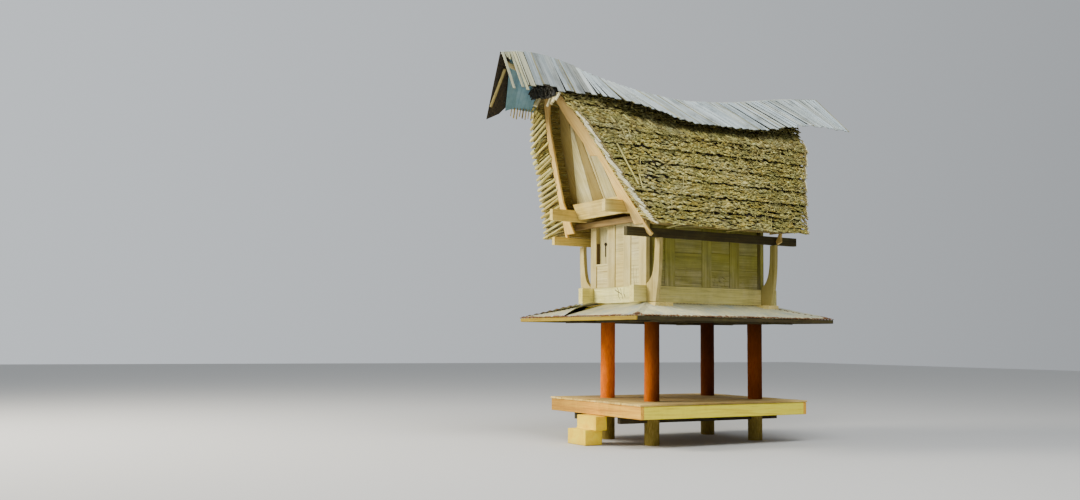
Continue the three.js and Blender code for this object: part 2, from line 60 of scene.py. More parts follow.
# Camera, solved from the photograph, and the studio
PHOTO_WIDTH = 1080
CAMERA_PLACE = Vector((16.287, -12.435, 1.831))
CAMERA_YAW, CAMERA_PITCH, CAMERA_ROLL = (math.radians(angle) for angle in (59.66, 4.8, 0.526))
CAMERA_FOCAL_PX = 1075.5
SENSOR_WIDTH = 36.0
FLOOR_REACH = 60
BRIGHT_SIDE = (-0.72, -0.66, 0.2)

# Lean of the gables and of the thatch's ends: run along Y for each metre above LEAN_Z, and their feet there
LEAN = 0.477
LEAN_Z = 3.8
GABLE_FOOT_Y = 1.255
BARGE_FOOT_Y = 1.555
THATCH_FOOT_Y = 1.755


def clipped(value):
    return max(0.0, min(1.0, value))


def fade(value, start, end, low, high):
    """low up to start, high from end on, and a straight line between them."""
    return low + (high - low) * clipped((value - start) / (end - start))


def ripple(place):
    return 0.5 + 0.5 * noise.noise(place)


def new_object(name, data):
    thing = bpy.data.objects.new(name, data)
    bpy.context.scene.collection.objects.link(thing)
    return thing


def add_camera():
    data = bpy.data.cameras.new("camera")
    data.sensor_width = SENSOR_WIDTH
    data.lens = CAMERA_FOCAL_PX * SENSOR_WIDTH / PHOTO_WIDTH
    data.clip_end = 200
    yaw = Matrix.Rotation(CAMERA_YAW, 4, "Z")
    pitch = Matrix.Rotation(math.pi / 2 + CAMERA_PITCH, 4, "X")
    roll = Matrix.Rotation(CAMERA_ROLL, 4, "Z")
    camera = new_object("camera", data)
    camera.matrix_world = Matrix.Translation(CAMERA_PLACE) @ yaw @ pitch @ roll
    bpy.context.scene.camera = camera


def add_light(name, place, target, size, power, colour):
    data = bpy.data.lights.new(name, "AREA")
    data.size, data.energy, data.color = size, power, colour
    light = new_object(name, data)
    light.location = place
    light.rotation_euler = (Vector(target) - Vector(place)).to_track_quat("-Z", "Y").to_euler()


def add_world():
    """Soft surroundings, brighter before the barn and on its left than behind it and on its right."""
    world = bpy.data.worlds.new("studio")
    n = Nodes(world)
    background = n.tree.nodes["Background"].inputs
    n.set(background["Color"], (0.9, 0.95, 1.0))
    along = n.node("ShaderNodeVectorMath", {0: n.place("Generated"), 1: BRIGHT_SIDE}, operation="DOT_PRODUCT")
    n.set(background["Strength"], n.fade(along.outputs["Value"], -1.0, 1.0, 0.13, 0.9))
    bpy.context.scene.world = world


def add_studio():
    add_light("key", (-7, -17, 11), (0, 0, 3), 7, 5800, (1.0, 0.94, 0.82))
    add_light("sky", (9, -3, 17), (0, 0, 4), 8, 3000, (0.97, 0.99, 1.0))
    add_world()
    mesh = bpy.data.meshes.new("floor")
    corners = [(x * FLOOR_REACH, y * FLOOR_REACH, 0) for x, y in ((-1, -1), (1, -1), (1, 1), (-1, 1))]
    mesh.from_pydata(corners, [], [(0, 1, 2, 3)])
    n = Nodes(bpy.data.materials.new("floor_paint"))
    n.set(n.shader["Base Color"], (0.55, 0.545, 0.53))
    n.set(n.shader["Roughness"], 0.9)
    mesh.materials.append(n.owner)
    floor = new_object("floor", mesh)


# Materials

# Stretch of a board's grain for its fibres, its bands and its cracks: along it and across it
FIBRES, BANDS, CRACKS = (1.3, 55.0, 55.0), (0.5, 11.0, 11.0), (2.2, 150.0, 150.0)
MOSS = (0.16, 0.17, 0.035)
# Heights over which the trunks take painted shade below the skirt roof, and between which they turn grey
# brown
TRUNK_SHADE_Z, TRUNK_FOOT_Z = (1.5, 2.3), (0.48, 0.56)


class Nodes:
    """The node tree of a material or of the world, with short calls for the nodes used here."""

    def __init__(self, owner):
        owner.use_nodes = True
        self.owner, self.tree = owner, owner.node_tree
        shader = self.tree.nodes.get("Principled BSDF")
        self.shader = shader and shader.inputs

    def set(self, socket, value):
        if isinstance(value, bpy.types.NodeSocket):
            self.tree.links.new(value, socket)
        else:
            socket.default_value = (*value, 1) if socket.type == "RGBA" and len(value) == 3 else value

    def node(self, kind, inputs, **settings):
        node = self.tree.nodes.new(kind)
        for key, value in settings.items():
            setattr(node, key, value)
        for key, value in inputs.items():
            self.set(node.inputs[key], value)
        return node

    def attribute(self, name, output="Fac"):
        return self.node("ShaderNodeAttribute", {}, attribute_name=name).outputs[output]

    def place(self, kind="Object"):
        return self.node("ShaderNodeTexCoord", {}).outputs[kind]

    def part(self, vector, axis):
        return self.node("ShaderNodeSeparateXYZ", {0: vector}).outputs[axis]

    def noise(self, vector, stretch, scale, detail, roughness, distortion=0.0):
        if stretch:
            scaled = self.node("ShaderNodeVectorMath", {0: vector, 1: stretch}, operation="MULTIPLY")
            vector = scaled.outputs[0]
        inputs = {"Vector": vector, "Scale": scale, "Detail": detail, "Roughness": roughness}
        return self.node("ShaderNodeTexNoise", {**inputs, "Distortion": distortion}).outputs["Fac"]

    def ramp(self, value, *stops):
        node = self.node("ShaderNodeValToRGB", {"Fac": value})
        elements = node.color_ramp.elements
        while len(elements) < len(stops):
            elements.new(0.5)
        for element, (position, colour) in zip(elements, stops):
            element.position = position
            element.color = (*colour, 1) if isinstance(colour, tuple) else (colour, colour, colour, 1)
        return node.outputs["Color"]

    def mix(self, share, a, b, mode="MIX"):
        node = self.node("ShaderNodeMix", {0: share, 6: a, 7: b}, data_type="RGBA", blend_type=mode)
        return node.outputs[2]

    def shaded(self, colour, attribute, *stops):
        """The colour times a ramp over one of the attributes."""
        return self.mix(1.0, colour, self.ramp(self.attribute(attribute), *stops), "MULTIPLY")

    def fade(self, value, start, end, low, high):
        return self.node("ShaderNodeMapRange", {0: value, 1: start, 2: end, 3: low, 4: high}).outputs[0]

    def math(self, operation, a, b):
        return self.node("ShaderNodeMath", {0: a, 1: b}, operation=operation).outputs[0]

    def times(self, a, b):
        return self.math("MULTIPLY", a, b)

    def plus(self, a, b):
        return self.math("ADD", a, b)

    def finish(self, colour, roughness, height, depth):
        """Links colour, roughness and bump; height is a value from 0 to 1 that stands for depth metres."""
        self.set(self.shader["Base Color"], colour)
        self.set(self.shader["Roughness"], roughness)
        bump = self.node("ShaderNodeBump", {"Height": height, "Distance": depth, "Strength": 1.0})
        self.set(self.shader["Normal"], bump.outputs[0])
        return self.owner


def darker(colour, share):
    return tuple(channel * share for channel in colour)


def wood(name, dark, middle, light, bleach, moss, stain, depth=0.004, cool=(0.94, 0.98, 0.98)):
    """Weathered wood: fibres along the grain, drying cracks, bleached and stained patches, and some moss.
    A tint of 0 multiplies the colour by cool."""
    n = Nodes(bpy.data.materials.new(name))
    grain, place = n.attribute("grain", "Vector"), n.place()
    fibres = n.noise(grain, FIBRES, 1.0, 8.0, 0.62, 0.4)
    bands = n.noise(grain, BANDS, 1.0, 4.0, 0.5, 1.2)
    both = n.plus(n.times(fibres, 0.6), n.times(bands, 0.4))
    colour = n.ramp(both, (0.3, dark), (0.5, middle), (0.7, light))
    grey = tuple(0.45 * (max(light) + 0.12) + 0.55 * channel for channel in light)
    bleached = n.ramp(n.noise(place, None, 1.7, 5.0, 0.65), (0.45, 0.0), (0.62, 1.0))
    colour = n.mix(n.times(bleached, bleach), colour, grey)
    stained = n.ramp(n.noise(place, (1.0, 1.0, 0.45), 3.1, 6.0, 0.7), (0.5, 0.0), (0.72, 1.0))
    colour = n.mix(n.times(stained, stain), colour, darker(dark, 0.6))
    crack = n.ramp(n.noise(grain, CRACKS, 1.0, 2.0, 0.4), (0.26, 1.0), (0.34, 0.0))
    colour = n.mix(n.times(crack, 0.55), colour, darker(dark, 0.4))
    # The tone darkens the colour; on many pieces it holds painted shade and painted light
    colour = n.shaded(colour, "tone", (0.0, (0.4, 0.38, 0.35)), (1.0, 1.0))
    colour = n.shaded(colour, "tint", (0.0, cool), (0.5, (1.0, 0.96, 0.82)), (1.0, (0.86, 0.73, 0.36)))
    if moss:
        mossy = n.ramp(n.noise(place, None, 2.6, 8.0, 0.72), (0.5, 0.0), (0.66, 1.0))
        colour = n.mix(n.times(mossy, moss), colour, MOSS)
    return n.finish(colour, 0.82, n.math("SUBTRACT", n.times(fibres, 0.7), n.times(crack, 0.5)), depth)


def palm_trunk():
    """Palm trunk: deep orange with fine upright flecks and painted shade at its top; grey brown below the
    deck.
    """
    n = Nodes(bpy.data.materials.new("palm_trunk"))
    place = n.place()
    height = n.part(place, "Z")
    flecks = n.noise(place, (110.0, 110.0, 9.0), 1.0, 5.0, 0.6, 0.3)
    patches = n.noise(place, (3.0, 3.0, 1.4), 1.0, 5.0, 0.6)
    colour = n.ramp(flecks, (0.25, (0.5, 0.09, 0.0)), (0.5, (0.95, 0.2, 0.0)), (0.75, (1.0, 0.3, 0.0)))
    colour = n.mix(n.ramp(patches, (0.42, 0.0), (0.7, 0.6)), colour, (0.3, 0.06, 0.0))
    # Painted shade of the skirt roof: darker towards the top of the trunk
    colour = n.mix(n.fade(height, *TRUNK_SHADE_Z, 0.0, 0.8), colour, (0.09, 0.03, 0.003))
    # Painted light and shade from each trunk's tone
    colour = n.shaded(colour, "tone", (0.0, 0.1), (1.0, 1.0))
    old = n.ramp(flecks, (0.3, (0.13, 0.09, 0.013)), (0.55, (0.28, 0.21, 0.045)), (0.75, (0.44, 0.35, 0.1)))
    n.set(n.shader["Specular IOR Level"], 0.08)
    return n.finish(n.mix(n.fade(height, *TRUNK_FOOT_Z, 1.0, 0.0), colour, old), 0.7, flecks, 0.003)


def limewash():
    """Yellow limewash on cast concrete, thin on the edges and stained near the ground."""
    n = Nodes(bpy.data.materials.new("limewash"))
    place = n.place()
    cloud, pits = n.noise(place, None, 5.0, 8.0, 0.65), n.noise(place, None, 70.0, 4.0, 0.6)
    colour = n.ramp(cloud, (0.3, (0.85, 0.5, 0.01)), (0.52, (0.98, 0.68, 0.02)), (0.75, (1.0, 0.8, 0.06)))
    colour = n.mix(n.ramp(pits, (0.6, 0.0), (0.75, 0.5)), colour, (0.5, 0.3, 0.08))
    low = n.fade(n.part(place, "Z"), 0.0, 0.1, 0.55, 0.0)
    colour = n.mix(n.times(low, cloud), colour, (0.25, 0.19, 0.09))
    return n.finish(colour, 0.88, pits, 0.004)


def zinc(name, dark, middle, light, rust_share=1.0):
    """Weathered zinc: dark and light clouds, with rust near each sheet's lower edge and in streaks."""
    n = Nodes(bpy.data.materials.new(name))
    grain, place = n.attribute("grain", "Vector"), n.place()
    bloom = n.noise(place, None, 3.5, 7.0, 0.65)
    streaks = n.noise(grain, (2.0, 24.0, 1.0), 1.0, 6.0, 0.6)
    colour = n.ramp(bloom, (0.32, dark), (0.5, middle), (0.7, light))
    colour = n.mix(n.ramp(streaks, (0.5, 0.0), (0.68, 0.6)), colour, darker(dark, 0.9))
    edge = n.fade(n.part(grain, "X"), 0.0, 0.14, 0.46, 0.0)
    edge = n.math("MAXIMUM", edge, n.times(n.attribute("tint"), 0.45))
    spread = n.plus(n.plus(streaks, edge), n.times(bloom, 0.35))
    rusty = n.times(n.ramp(spread, (0.86, 0.0), (1.02, 1.0)), rust_share)
    rust = n.ramp(n.noise(place, None, 30.0, 5.0, 0.6), (0.3, (0.05, 0.022, 0.006)),
                  (0.55, (0.17, 0.07, 0.02)), (0.75, (0.4, 0.19, 0.07)))
    colour = n.shaded(n.mix(rusty, colour, rust), "tone", (0.0, 0.62), (1.0, 1.0))
    n.set(n.shader["Metallic"], n.times(n.math("SUBTRACT", 1.0, rusty), 0.3))
    return n.finish(colour, n.plus(0.5, n.times(rusty, 0.35)), streaks, 0.0015)


def thatch_core():
    """Packed bamboo and soil: painted shade, near black, behind the canes; brown and streaked underneath,
    where the tone is 1.
    """
    n = Nodes(bpy.data.materials.new("thatch_core"))
    place = n.place()
    clumps = n.noise(place, None, 22.0, 8.0, 0.7)
    streaks = n.noise(place, (20.0, 3.0, 60.0), 1.0, 6.0, 0.65)
    colour = n.ramp(clumps, (0.35, (0.012, 0.009, 0.004)), (0.6, (0.05, 0.036, 0.016)),
                    (0.78, (0.12, 0.095, 0.04)))
    under = n.ramp(streaks, (0.35, (0.08, 0.05, 0.01)), (0.52, (0.38, 0.27, 0.06)), (0.7, (0.7, 0.54, 0.16)))
    return n.finish(n.mix(n.attribute("tone"), colour, under), 0.95, clumps, 0.03)


# Pieces

class Piece:
    """One mesh made of boards, canes and sheets. Each of them has its own grain and its own shade,
    a pair of tone and tint, of which None stands for a random one."""

    def __init__(self, name):
        self.name = name
        self.random = random.Random(name)
        self.points, self.faces, self.grain, self.shades = [], [], [], []

    def offset(self):
        return Vector(self.random.uniform(0, 40) for _ in range(3))

    def drawn(self, shade):
        tone, tint = shade
        tone = self.random.uniform(0.35, 1.0) if tone is None else tone
        tint = self.random.uniform(0.2, 0.75) if tint is None else tint
        return tone, tint

    def add(self, point, grain, shade):
        self.points.append(point)
        self.grain.append(grain)
        self.shades.append(shade)

    def reshade(self, change):
        """Gives each point the tone and tint that change(tone, tint, point) returns."""
        self.shades = [change(*shade, point) for shade, point in zip(self.shades, self.points)]

    def skin(self, first, rings, count):
        """Faces between rings of count points each, from the point numbered first, and a lid on each end."""
        for k in range(rings - 1):
            a = first + k * count
            for i in range(count):
                j = (i + 1) % count
                self.faces.append((a + i, a + j, a + count + j, a + count + i))
        last = first + (rings - 1) * count
        self.faces.append(tuple(range(first + count - 1, first - 1, -1)))
        self.faces.append(tuple(range(last, last + count)))

    def grid(self, first, columns, rows):
        """Faces between columns by rows points, from the point numbered first."""
        for i in range(columns - 1):
            for a in range(first + i * rows, first + (i + 1) * rows - 1):
                self.faces.append((a, a + rows, a + rows + 1, a + 1))

    def closed_sheet(self, columns, rows):
        """Faces of a thin sheet that has two grids of columns by rows points."""
        back = columns * rows
        self.grid(0, columns, rows)
        self.grid(back, columns, rows)
        rim = [i * rows for i in range(columns)] + [back - rows + j for j in range(1, rows)]
        rim += [(i + 1) * rows - 1 for i in range(columns - 2, -1, -1)] + list(range(rows - 2, 0, -1))
        self.faces += [(a, b, back + b, back + a) for a, b in zip(rim, rim[1:] + rim[:1])]

    def sweep(self, stations, profile, shade=(None, None), dent=0.0):
        """A closed profile of (side, up) points, run through stations of (centre, side, up) vectors."""
        first, start, run, previous = len(self.points), self.offset(), 0.0, stations[0][0]
        shade = self.drawn(shade)
        for centre, side, up in stations:
            run += (centre - previous).length
            previous = centre
            for u, v in profile:
                point = centre + side * u + up * v
                if dent:
                    pull = dent * ripple(point * 7 + start)
                    point = point.lerp(centre, pull / max((point - centre).length, dent))
                self.add(point, start + Vector((run, u, v)), shade)
        self.skin(first, len(stations), len(profile))

    def plank(self, start, end, width, thickness, up, shade=(None, None), chamfer=0.004, dent=0.003):
        """A sawn board from start to end; up is the way its thickness goes."""
        direction = (end - start).normalized()
        side = direction.cross(up).normalized()
        up = side.cross(direction)
        count = max(2, int((end - start).length / PLANK_STEP) + 1)
        stations = [(start.lerp(end, k / (count - 1)), side, up) for k in range(count)]
        self.sweep(stations, slab(width, thickness, chamfer), shade, dent)

    def culm(self, start, end, radius, shade, sides=10, node_gap=0.27):
        """A round bamboo pole with a slight ring at each of its nodes."""
        direction = end - start
        length = direction.length
        side = direction.orthogonal().normalized()
        up = direction.normalized().cross(side)
        rings = [(0.0, 0.9), (0.01, 1.0)]
        at = self.random.uniform(0.05, node_gap)
        while at < length - 0.03:
            rings += [(at - 0.012, 0.97), (at, 1.1), (at + 0.012, 0.97)]
            at += node_gap * self.random.uniform(0.8, 1.2)
        rings += [(length - 0.01, 0.97), (length, 0.88)]
        stations = [(start + direction * (run / length), side * size, up * size) for run, size in rings]
        self.sweep(stations, circle(radius, sides), shade)

    def box(self, low, high, along, shade):
        """A hewn beam that fills the box from low to high, with its grain along one axis."""
        low, high = Vector(low), Vector(high)
        axis = "XYZ".index(along)
        up_axis = 2 if axis != 2 else 1
        start, end, up = (low + high) / 2, (low + high) / 2, Vector((0, 0, 0))
        start[axis], end[axis], up[up_axis] = low[axis], high[axis], 1
        size = high - low
        self.plank(start, end, size[3 - axis - up_axis], size[up_axis], up, shade, 0.008, 0.005)

    def prism(self, outline, place, front, back, shade, chamfer=0.004):
        """A flat board of any outline of (u, v) points, from depth front to back, its grain along v."""
        first, start = len(self.points), self.offset()
        shade = self.drawn(shade)
        centre = Vector((sum(u for u, _ in outline), sum(v for _, v in outline))) / len(outline)
        inner = [tuple(Vector(p) + (centre - Vector(p)).normalized() * chamfer) for p in outline]
        for ring, depth in ((inner, front), (outline, front + chamfer), (outline, back)):
            for u, v in ring:
                self.add(place(u, v, depth), start + Vector((v, u, depth)), shade)
        self.skin(first, 3, len(outline))

    def make(self, slot, material, *nodes, smooth=False):
        mesh = bpy.data.meshes.new(self.name)
        mesh.from_pydata(self.points, [], self.faces)
        grain = mesh.attributes.new("grain", "FLOAT_VECTOR", "POINT")
        grain.data.foreach_set("vector", [c for point in self.grain for c in point])
        for name, values in zip(("tone", "tint"), zip(*self.shades)):
            mesh.attributes.new(name, "FLOAT", "POINT").data.foreach_set("value", values)
        return settle(self.name, mesh, material, nodes, smooth)


def settle(name, mesh, material, nodes, smooth=False):
    """Links a finished mesh as a piece that rides on the barn and stands for its CAD nodes."""
    bm = bmesh.new()
    bm.from_mesh(mesh)
    bmesh.ops.recalc_face_normals(bm, faces=bm.faces)
    bm.to_mesh(mesh)
    bm.free()
    if smooth:
        mesh.polygons.foreach_set("use_smooth", [True] * len(mesh.polygons))
        mesh.set_sharp_from_angle(angle=math.radians(38))
    mesh.materials.append(material)
    piece = new_object(name, mesh)
    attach(piece, BODY)
    if nodes:
        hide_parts(*nodes)
    return piece


PLANK_STEP = 0.25


def slab(width, thickness, chamfer):
    """Section of a board with its four edges taken off."""
    w, t, c = width / 2, thickness / 2, min(chamfer, thickness / 3)
    half = [(-w + c, -t), (w - c, -t), (w, -t + c), (w, t - c)]
    return half + [(-u, -v) for u, v in half]


def circle(radius, count):
    turns = [2 * math.pi * k / count for k in range(count)]
    return [(radius * math.cos(turn), radius * math.sin(turn)) for turn in turns]


def flat_cane(width, height):
    """Section of a split cane pressed flat, with a level underside and a rounded back."""
    w = width / 2
    return [(-w, 0), (w, 0), (0.72 * w, 0.75 * height), (0, height), (-0.72 * w, 0.75 * height)]


# Heights between which the barge boards and the gables fall into the shade of the ridge cap
BARGE_SHADE_Z = (4.8, 5.8)
GABLE_SHADE_Z = (4.8, 5.9)


def welded(node):
    """A bmesh of a CAD node with its doubled vertices joined."""
    bm = bmesh.new()
    bm.from_mesh(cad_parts[node].data)
    bmesh.ops.remove_doubles(bm, verts=bm.verts, dist=1e-5)
    return bm


def settle_welded(bm, name, slot, material, *nodes):
    mesh = bpy.data.meshes.new(name)
    bm.to_mesh(mesh)
    bm.free()
    settle(name, mesh, material, nodes)


def timber(node, along, slot, material, tone=0.7, tint=0.5, chamfer=0.008, dent=0.006, pitch=0.18, head=None):
    """A hewn copy of a CAD timber: worn edges, slightly uneven faces, and its grain along one direction.
    With head, its tone changes to that value over BARGE_SHADE_Z, as painted shade of the ridge cap."""
    along = Vector(along).normalized()
    side = along.orthogonal().normalized()
    up = along.cross(side)
    start = Vector([random.Random(node).uniform(0, 40)] * 3)
    bm = welded(node)
    bmesh.ops.dissolve_limit(bm, angle_limit=math.radians(1), verts=bm.verts, edges=bm.edges)
    sharp = [edge for edge in bm.edges if edge.calc_face_angle(0) > math.radians(30)]
    bmesh.ops.bevel(bm, geom=sharp, offset=chamfer, segments=2, profile=0.5, affect="EDGES")
    reach = [vertex.co.dot(along) for vertex in bm.verts]
    low, high = min(reach), max(reach)
    count = int((high - low) / pitch)
    for k in range(1, count):
        cut = along * (low + (high - low) * k / count)
        bmesh.ops.bisect_plane(bm, geom=bm.verts[:] + bm.edges[:] + bm.faces[:], plane_co=cut, plane_no=along)
    bm.normal_update()
    grain = bm.verts.layers.float_vector.new("grain")
    tone_layer, tint_layer = (bm.verts.layers.float.new(name) for name in ("tone", "tint"))
    head = tone if head is None else head
    for vertex in bm.verts:
        vertex[grain] = start + Vector((vertex.co.dot(along), vertex.co.dot(side), vertex.co.dot(up)))
        vertex[tone_layer] = fade(vertex.co.z, *BARGE_SHADE_Z, tone, head)
        vertex[tint_layer] = tint
        vertex.co -= vertex.normal * dent * ripple(vertex.co * 5 + start)
    settle_welded(bm, node + "_hewn", slot, material, node)


# Posts, platform and steps

# Tone of each trunk on its front left side and on its rear right side, as painted light and shade: the two
# before the store are painted bright where the sun reaches them, the front right one painted shade on its
# far side, and those deep under the store painted dark as its shade
POST_LIGHT_AND_SHADE = {("front", "left"): (1.0, 1.0), ("front", "right"): (0.55, 0.0),
              ("rear", "left"): (0.06, 0.02), ("rear", "right"): (0.18, 0.06)}
AWAY_FROM_SUN = Vector((0.505, 0.863, 0))
POST_RINGS = 48

PLATFORM_EDGE = 0.07
JOIST_YS = (-0.45, 0.22, 0.9)
JOIST_WIDTH = 0.06
DECK_PLANK = 0.19
PLANK_GAP = 0.005
# Where the edge boards change from darker to lighter, and where the planks change from painted shade under
# the skirt roof to their lighter, bleached ends
EDGE_DARK_TO_LIGHT_X = (-1.2, 0.2)
PLATFORM_MIDDLE_Y = 0.115
DECK_SHADE_REACH = (1.2, 1.65)


def add_posts(finish):
    for (row, side), (sunny, shaded) in POST_LIGHT_AND_SHADE.items():
        node = f"post_{row}_{side}"
        low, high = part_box(node)
        foot, radius = (low + high) / 2, (high.x - low.x) / 2
        piece = Piece(node + "_trunk")
        sway = piece.offset()
        stations = []
        for k in range(POST_RINGS + 1):
            z = low.z + (high.z - low.z) * k / POST_RINGS
            swell = 1 - 0.035 * ripple(Vector((0, 0, z * 1.6)) + sway)
            stations.append((Vector((foot.x, foot.y, z)), X * swell, Y * swell))
        piece.sweep(stations, circle(radius, 40), (0.5, 0.5), dent=0.004)
        # Painted light and shade: the tone runs from the trunk's sunlit side to its side away from the sun
        piece.reshade(lambda tone, tint, point: (
            fade((point - foot).dot(AWAY_FROM_SUN), -radius, radius, sunny, shaded), tint))
        piece.make("palm_post", finish, node, smooth=True)


def add_platform(tan, gold, rough):
    low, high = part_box("platform_frame")
    left, right = low.x + PLATFORM_EDGE, high.x - PLATFORM_EDGE
    near, far = low.y + PLATFORM_EDGE, high.y - PLATFORM_EDGE
    edge = Piece("platform_edge_boards")
    edge.box(low, (high.x, near, high.z), "X", (0.95, 0.45))
    edge.box((low.x, far, low.z), high, "X", (0.9, 0.5))
    for y in JOIST_YS:
        edge.box((left, y - JOIST_WIDTH / 2, low.z), (right, y + JOIST_WIDTH / 2, high.z), "X", (0.3, 0.5))
    # The edge boards are darker towards -x
    edge.reshade(lambda tone, tint, point: (tone * fade(point.x, *EDGE_DARK_TO_LIGHT_X, 0.25, 1.0), tint))
    edge.make("platform_wood", tan, "platform_frame")
    # The side boards take the bright gold wood at full tone, partly as painted light on their sunlit sides
    sides = Piece("platform_side_boards")
    for x0, x1 in ((low.x, left), (right, high.x)):
        sides.box((x0, near, low.z), (x1, far, high.z), "Y", (1.0, 0.3))
    sides.make("platform_wood", gold)
    for side, _ in SIDES:
        timber(f"platform_bearer_{side}", Y, "bearer_wood", rough, 0.3, 0.9)


def add_deck(finish):
    """Planks of two lengths each that meet on a joist; painted shade under the skirt roof, bleached ends
    outside it.
    """
    low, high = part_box("platform_deck")
    deck = Piece("deck_planks")
    count = round((high.x - low.x) / DECK_PLANK)
    width = (high.x - low.x) / count
    for k in range(count):
        x = low.x + (k + 0.5) * width
        joint = JOIST_YS[k % 3]
        for y0, y1 in ((low.y, joint), (joint, high.y)):
            drop = deck.random.uniform(0, 0.004)
            slack = deck.random.uniform(0, 0.012) * (0 < k < count - 1)
            near = y0 + (slack if y0 == low.y else 0.002)
            far = y1 - (slack if y1 == high.y else 0.002)
            z = (low.z + high.z) / 2 - drop / 2
            deck.plank(Vector((x, near, z)), Vector((x, far, z)), width - PLANK_GAP, high.z - low.z - drop, Z,
                       chamfer=0.006)
    # Painted shade: the planks darken towards the middle, under the skirt roof
    deck.reshade(lambda tone, tint, point: (
        (0.4 + 0.6 * tone) * fade(abs(point.y - PLATFORM_MIDDLE_Y), *DECK_SHADE_REACH, 0.0, 1.0), tint))
    deck.make("deck_wood", finish, "platform_deck")


# Store

STUDS_FRONT = ((-0.9, -0.7), (-0.33, -0.08), (0.19, 0.42), (0.67, 0.9))
STUDS_SIDE = ((-1.1747, -1.11), (-0.84, -0.61), (0.0, 0.225), (0.655, 0.885), (1.335, 1.4047))
NARROW_STUD = 0.1
PANEL_RELIEF = 0.015
# Heights of the level boards: long plain ones on the sides, smooth wide ones on the front and the rear
PLAIN_BOARD, SMOOTH_BOARD = 0.33, 0.65
# Height over which the side walls turn from greyer at their foot to their full tint
PALE_FOOT = 0.6
# The hatch opening is in the first panel, between these heights, with a ledge below it
HATCH_PANEL = 0
HATCH = (3.27, 3.97)
LEDGE = 0.04
JAMB_SHADE_TOP = 3.66
PEG_PLACE = Vector((-0.436, -1.22, 0))
PEG_RADIUS = 0.028
# Height and relative width of each ring of the peg
PEG_RINGS = ((3.4, 0.4), (3.5, 0.44), (3.6, 0.44), (3.612, 0.75), (3.628, 0.97), (3.64, 1.0), (3.652, 0.97),
             (3.668, 0.6))


def boarded_wall(piece, studs, place, outward, depth, board, hatch_panel=None):
    """Upright studs with panels of level boards between them, all inside the wall's depth. The narrow
    studs at the ends of a side wall are painted dark as the shade in the wall's end corners."""
    draw = piece.random.uniform
    bottom, top = (corner.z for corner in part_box("front_wall"))
    for u0, u1 in studs:
        centre = place((u0 + u1) / 2) - outward * depth / 2
        # Painted shade: the narrow end studs take the darkest tone
        shade = (0.0, 1.0) if u1 - u0 < NARROW_STUD else (draw(0.75, 1.0), draw(0.3, 0.7))
        piece.plank(centre + Z * bottom, centre + Z * top, u1 - u0 - 0.004, depth, outward, shade)
    for k, ((_, u0), (u1, _)) in enumerate(zip(studs, studs[1:])):
        for z0, z1 in ((bottom, HATCH[0]), (HATCH[1], top)) if k == hatch_panel else ((bottom, top),):
            rows = max(1, round((z1 - z0) / board))
            levels = [z0 + (z1 - z0) * r / rows + draw(-0.03, 0.03) * (0 < r < rows) for r in range(rows + 1)]
            for low, high in zip(levels, levels[1:]):
                inset = PANEL_RELIEF + draw(0, 0.004)
                thickness = depth - inset
                middle = -outward * (inset + thickness / 2) + Z * (low + high) / 2
                piece.plank(place(u0) + middle, place(u1) + middle, high - low - 0.001, thickness, outward,
                            (draw(0.8, 1.0), draw(0.3, 0.7)), chamfer=0.0015)
            back = -outward * (depth - 0.01) + Z * (z0 + z1) / 2
            piece.plank(place(u0) + back, place(u1) + back, z1 - z0, 0.012, outward, (0.3, 0.8))


def add_walls(pale, olive):
    """Front wall with the ledge of its hatch, rear wall with the same studs, and the two side walls."""
    low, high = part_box("front_wall")
    front = Piece("front_wall_boards")
    boarded_wall(front, STUDS_FRONT, lambda u: Vector((u, low.y, 0)), -Y, high.y - low.y, SMOOTH_BOARD,
                 HATCH_PANEL)
    ledge_y, ledge_z = low.y + LEDGE / 2, HATCH[0] - LEDGE / 2
    ends = [Vector((x, ledge_y, ledge_z)) for x in (STUDS_FRONT[0][1], STUDS_FRONT[1][0])]
    front.plank(*ends, LEDGE, LEDGE, Z, (1.0, 0.4))
    front.make("pale_boards", pale, "front_wall")
    low_rear, high_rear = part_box("rear_wall")
    rear = Piece("rear_wall_boards")
    studs = [(-b, -a) for a, b in reversed(STUDS_FRONT)]
    boarded_wall(rear, studs, lambda u: Vector((u, high_rear.y, 0)), Y, high_rear.y - low_rear.y,
                 SMOOTH_BOARD)
    # The rear and side walls take the olive wood, darker as painted shade under the eaves
    rear.make("pale_boards", olive, "rear_wall")
    for side, sign in SIDES:
        low_side, high_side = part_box(f"{side}_wall")
        face, depth = max(abs(low_side.x), abs(high_side.x)), high_side.x - low_side.x
        wall = Piece(f"{side}_wall_boards")
        boarded_wall(wall, STUDS_SIDE, lambda u: Vector((sign * face, u, 0)), X * sign, depth, PLAIN_BOARD)
        wall.reshade(lambda tone, tint, point: (tone, tint * clipped((point.z - low.z) / PALE_FOOT)))
        wall.make("pale_boards", olive, f"{side}_wall")


def add_store_timbers(pale, sill, beam, rough, dark):
    for side, _ in SIDES:
        timber(f"sill_{side}", Y, "pale_boards", sill, 0.95, 0.6)
        # The right eave beam takes the dark wood, as painted shade under the eave
        timber(f"eave_beam_{side}", Y, "weathered_beam", dark if side == "right" else beam, 0.9, 0.6)
        timber(f"upper_beam_{side}", Y, "weathered_beam", beam, 0.9)
        timber(f"corner_post_front_{side}", Z, "weathered_beam", pale, 0.85, 0.8, pitch=0.08)
        timber(f"corner_post_rear_{side}", Z, "weathered_beam", sill, 0.25, 0.8, pitch=0.08)
    for row, _ in ENDS:
        timber(f"sill_{row}", X, "pale_boards", sill, 1.0, 0.25)
        timber(f"floor_beam_{row}", X, "weathered_beam", beam, 0.95, chamfer=0.014, dent=0.012)
        # The lintels take the dark rough wood, partly as painted shade under the gable foot boards
        timber(f"lintel_{row}", X, "dark_beam", rough, 1.0, 0.7)
        timber(f"gable_foot_board_{row}", X, "weathered_beam", beam, 1.0, 0.6)
    timber("store_floor", Y, "bearer_wood", rough, 0.6)


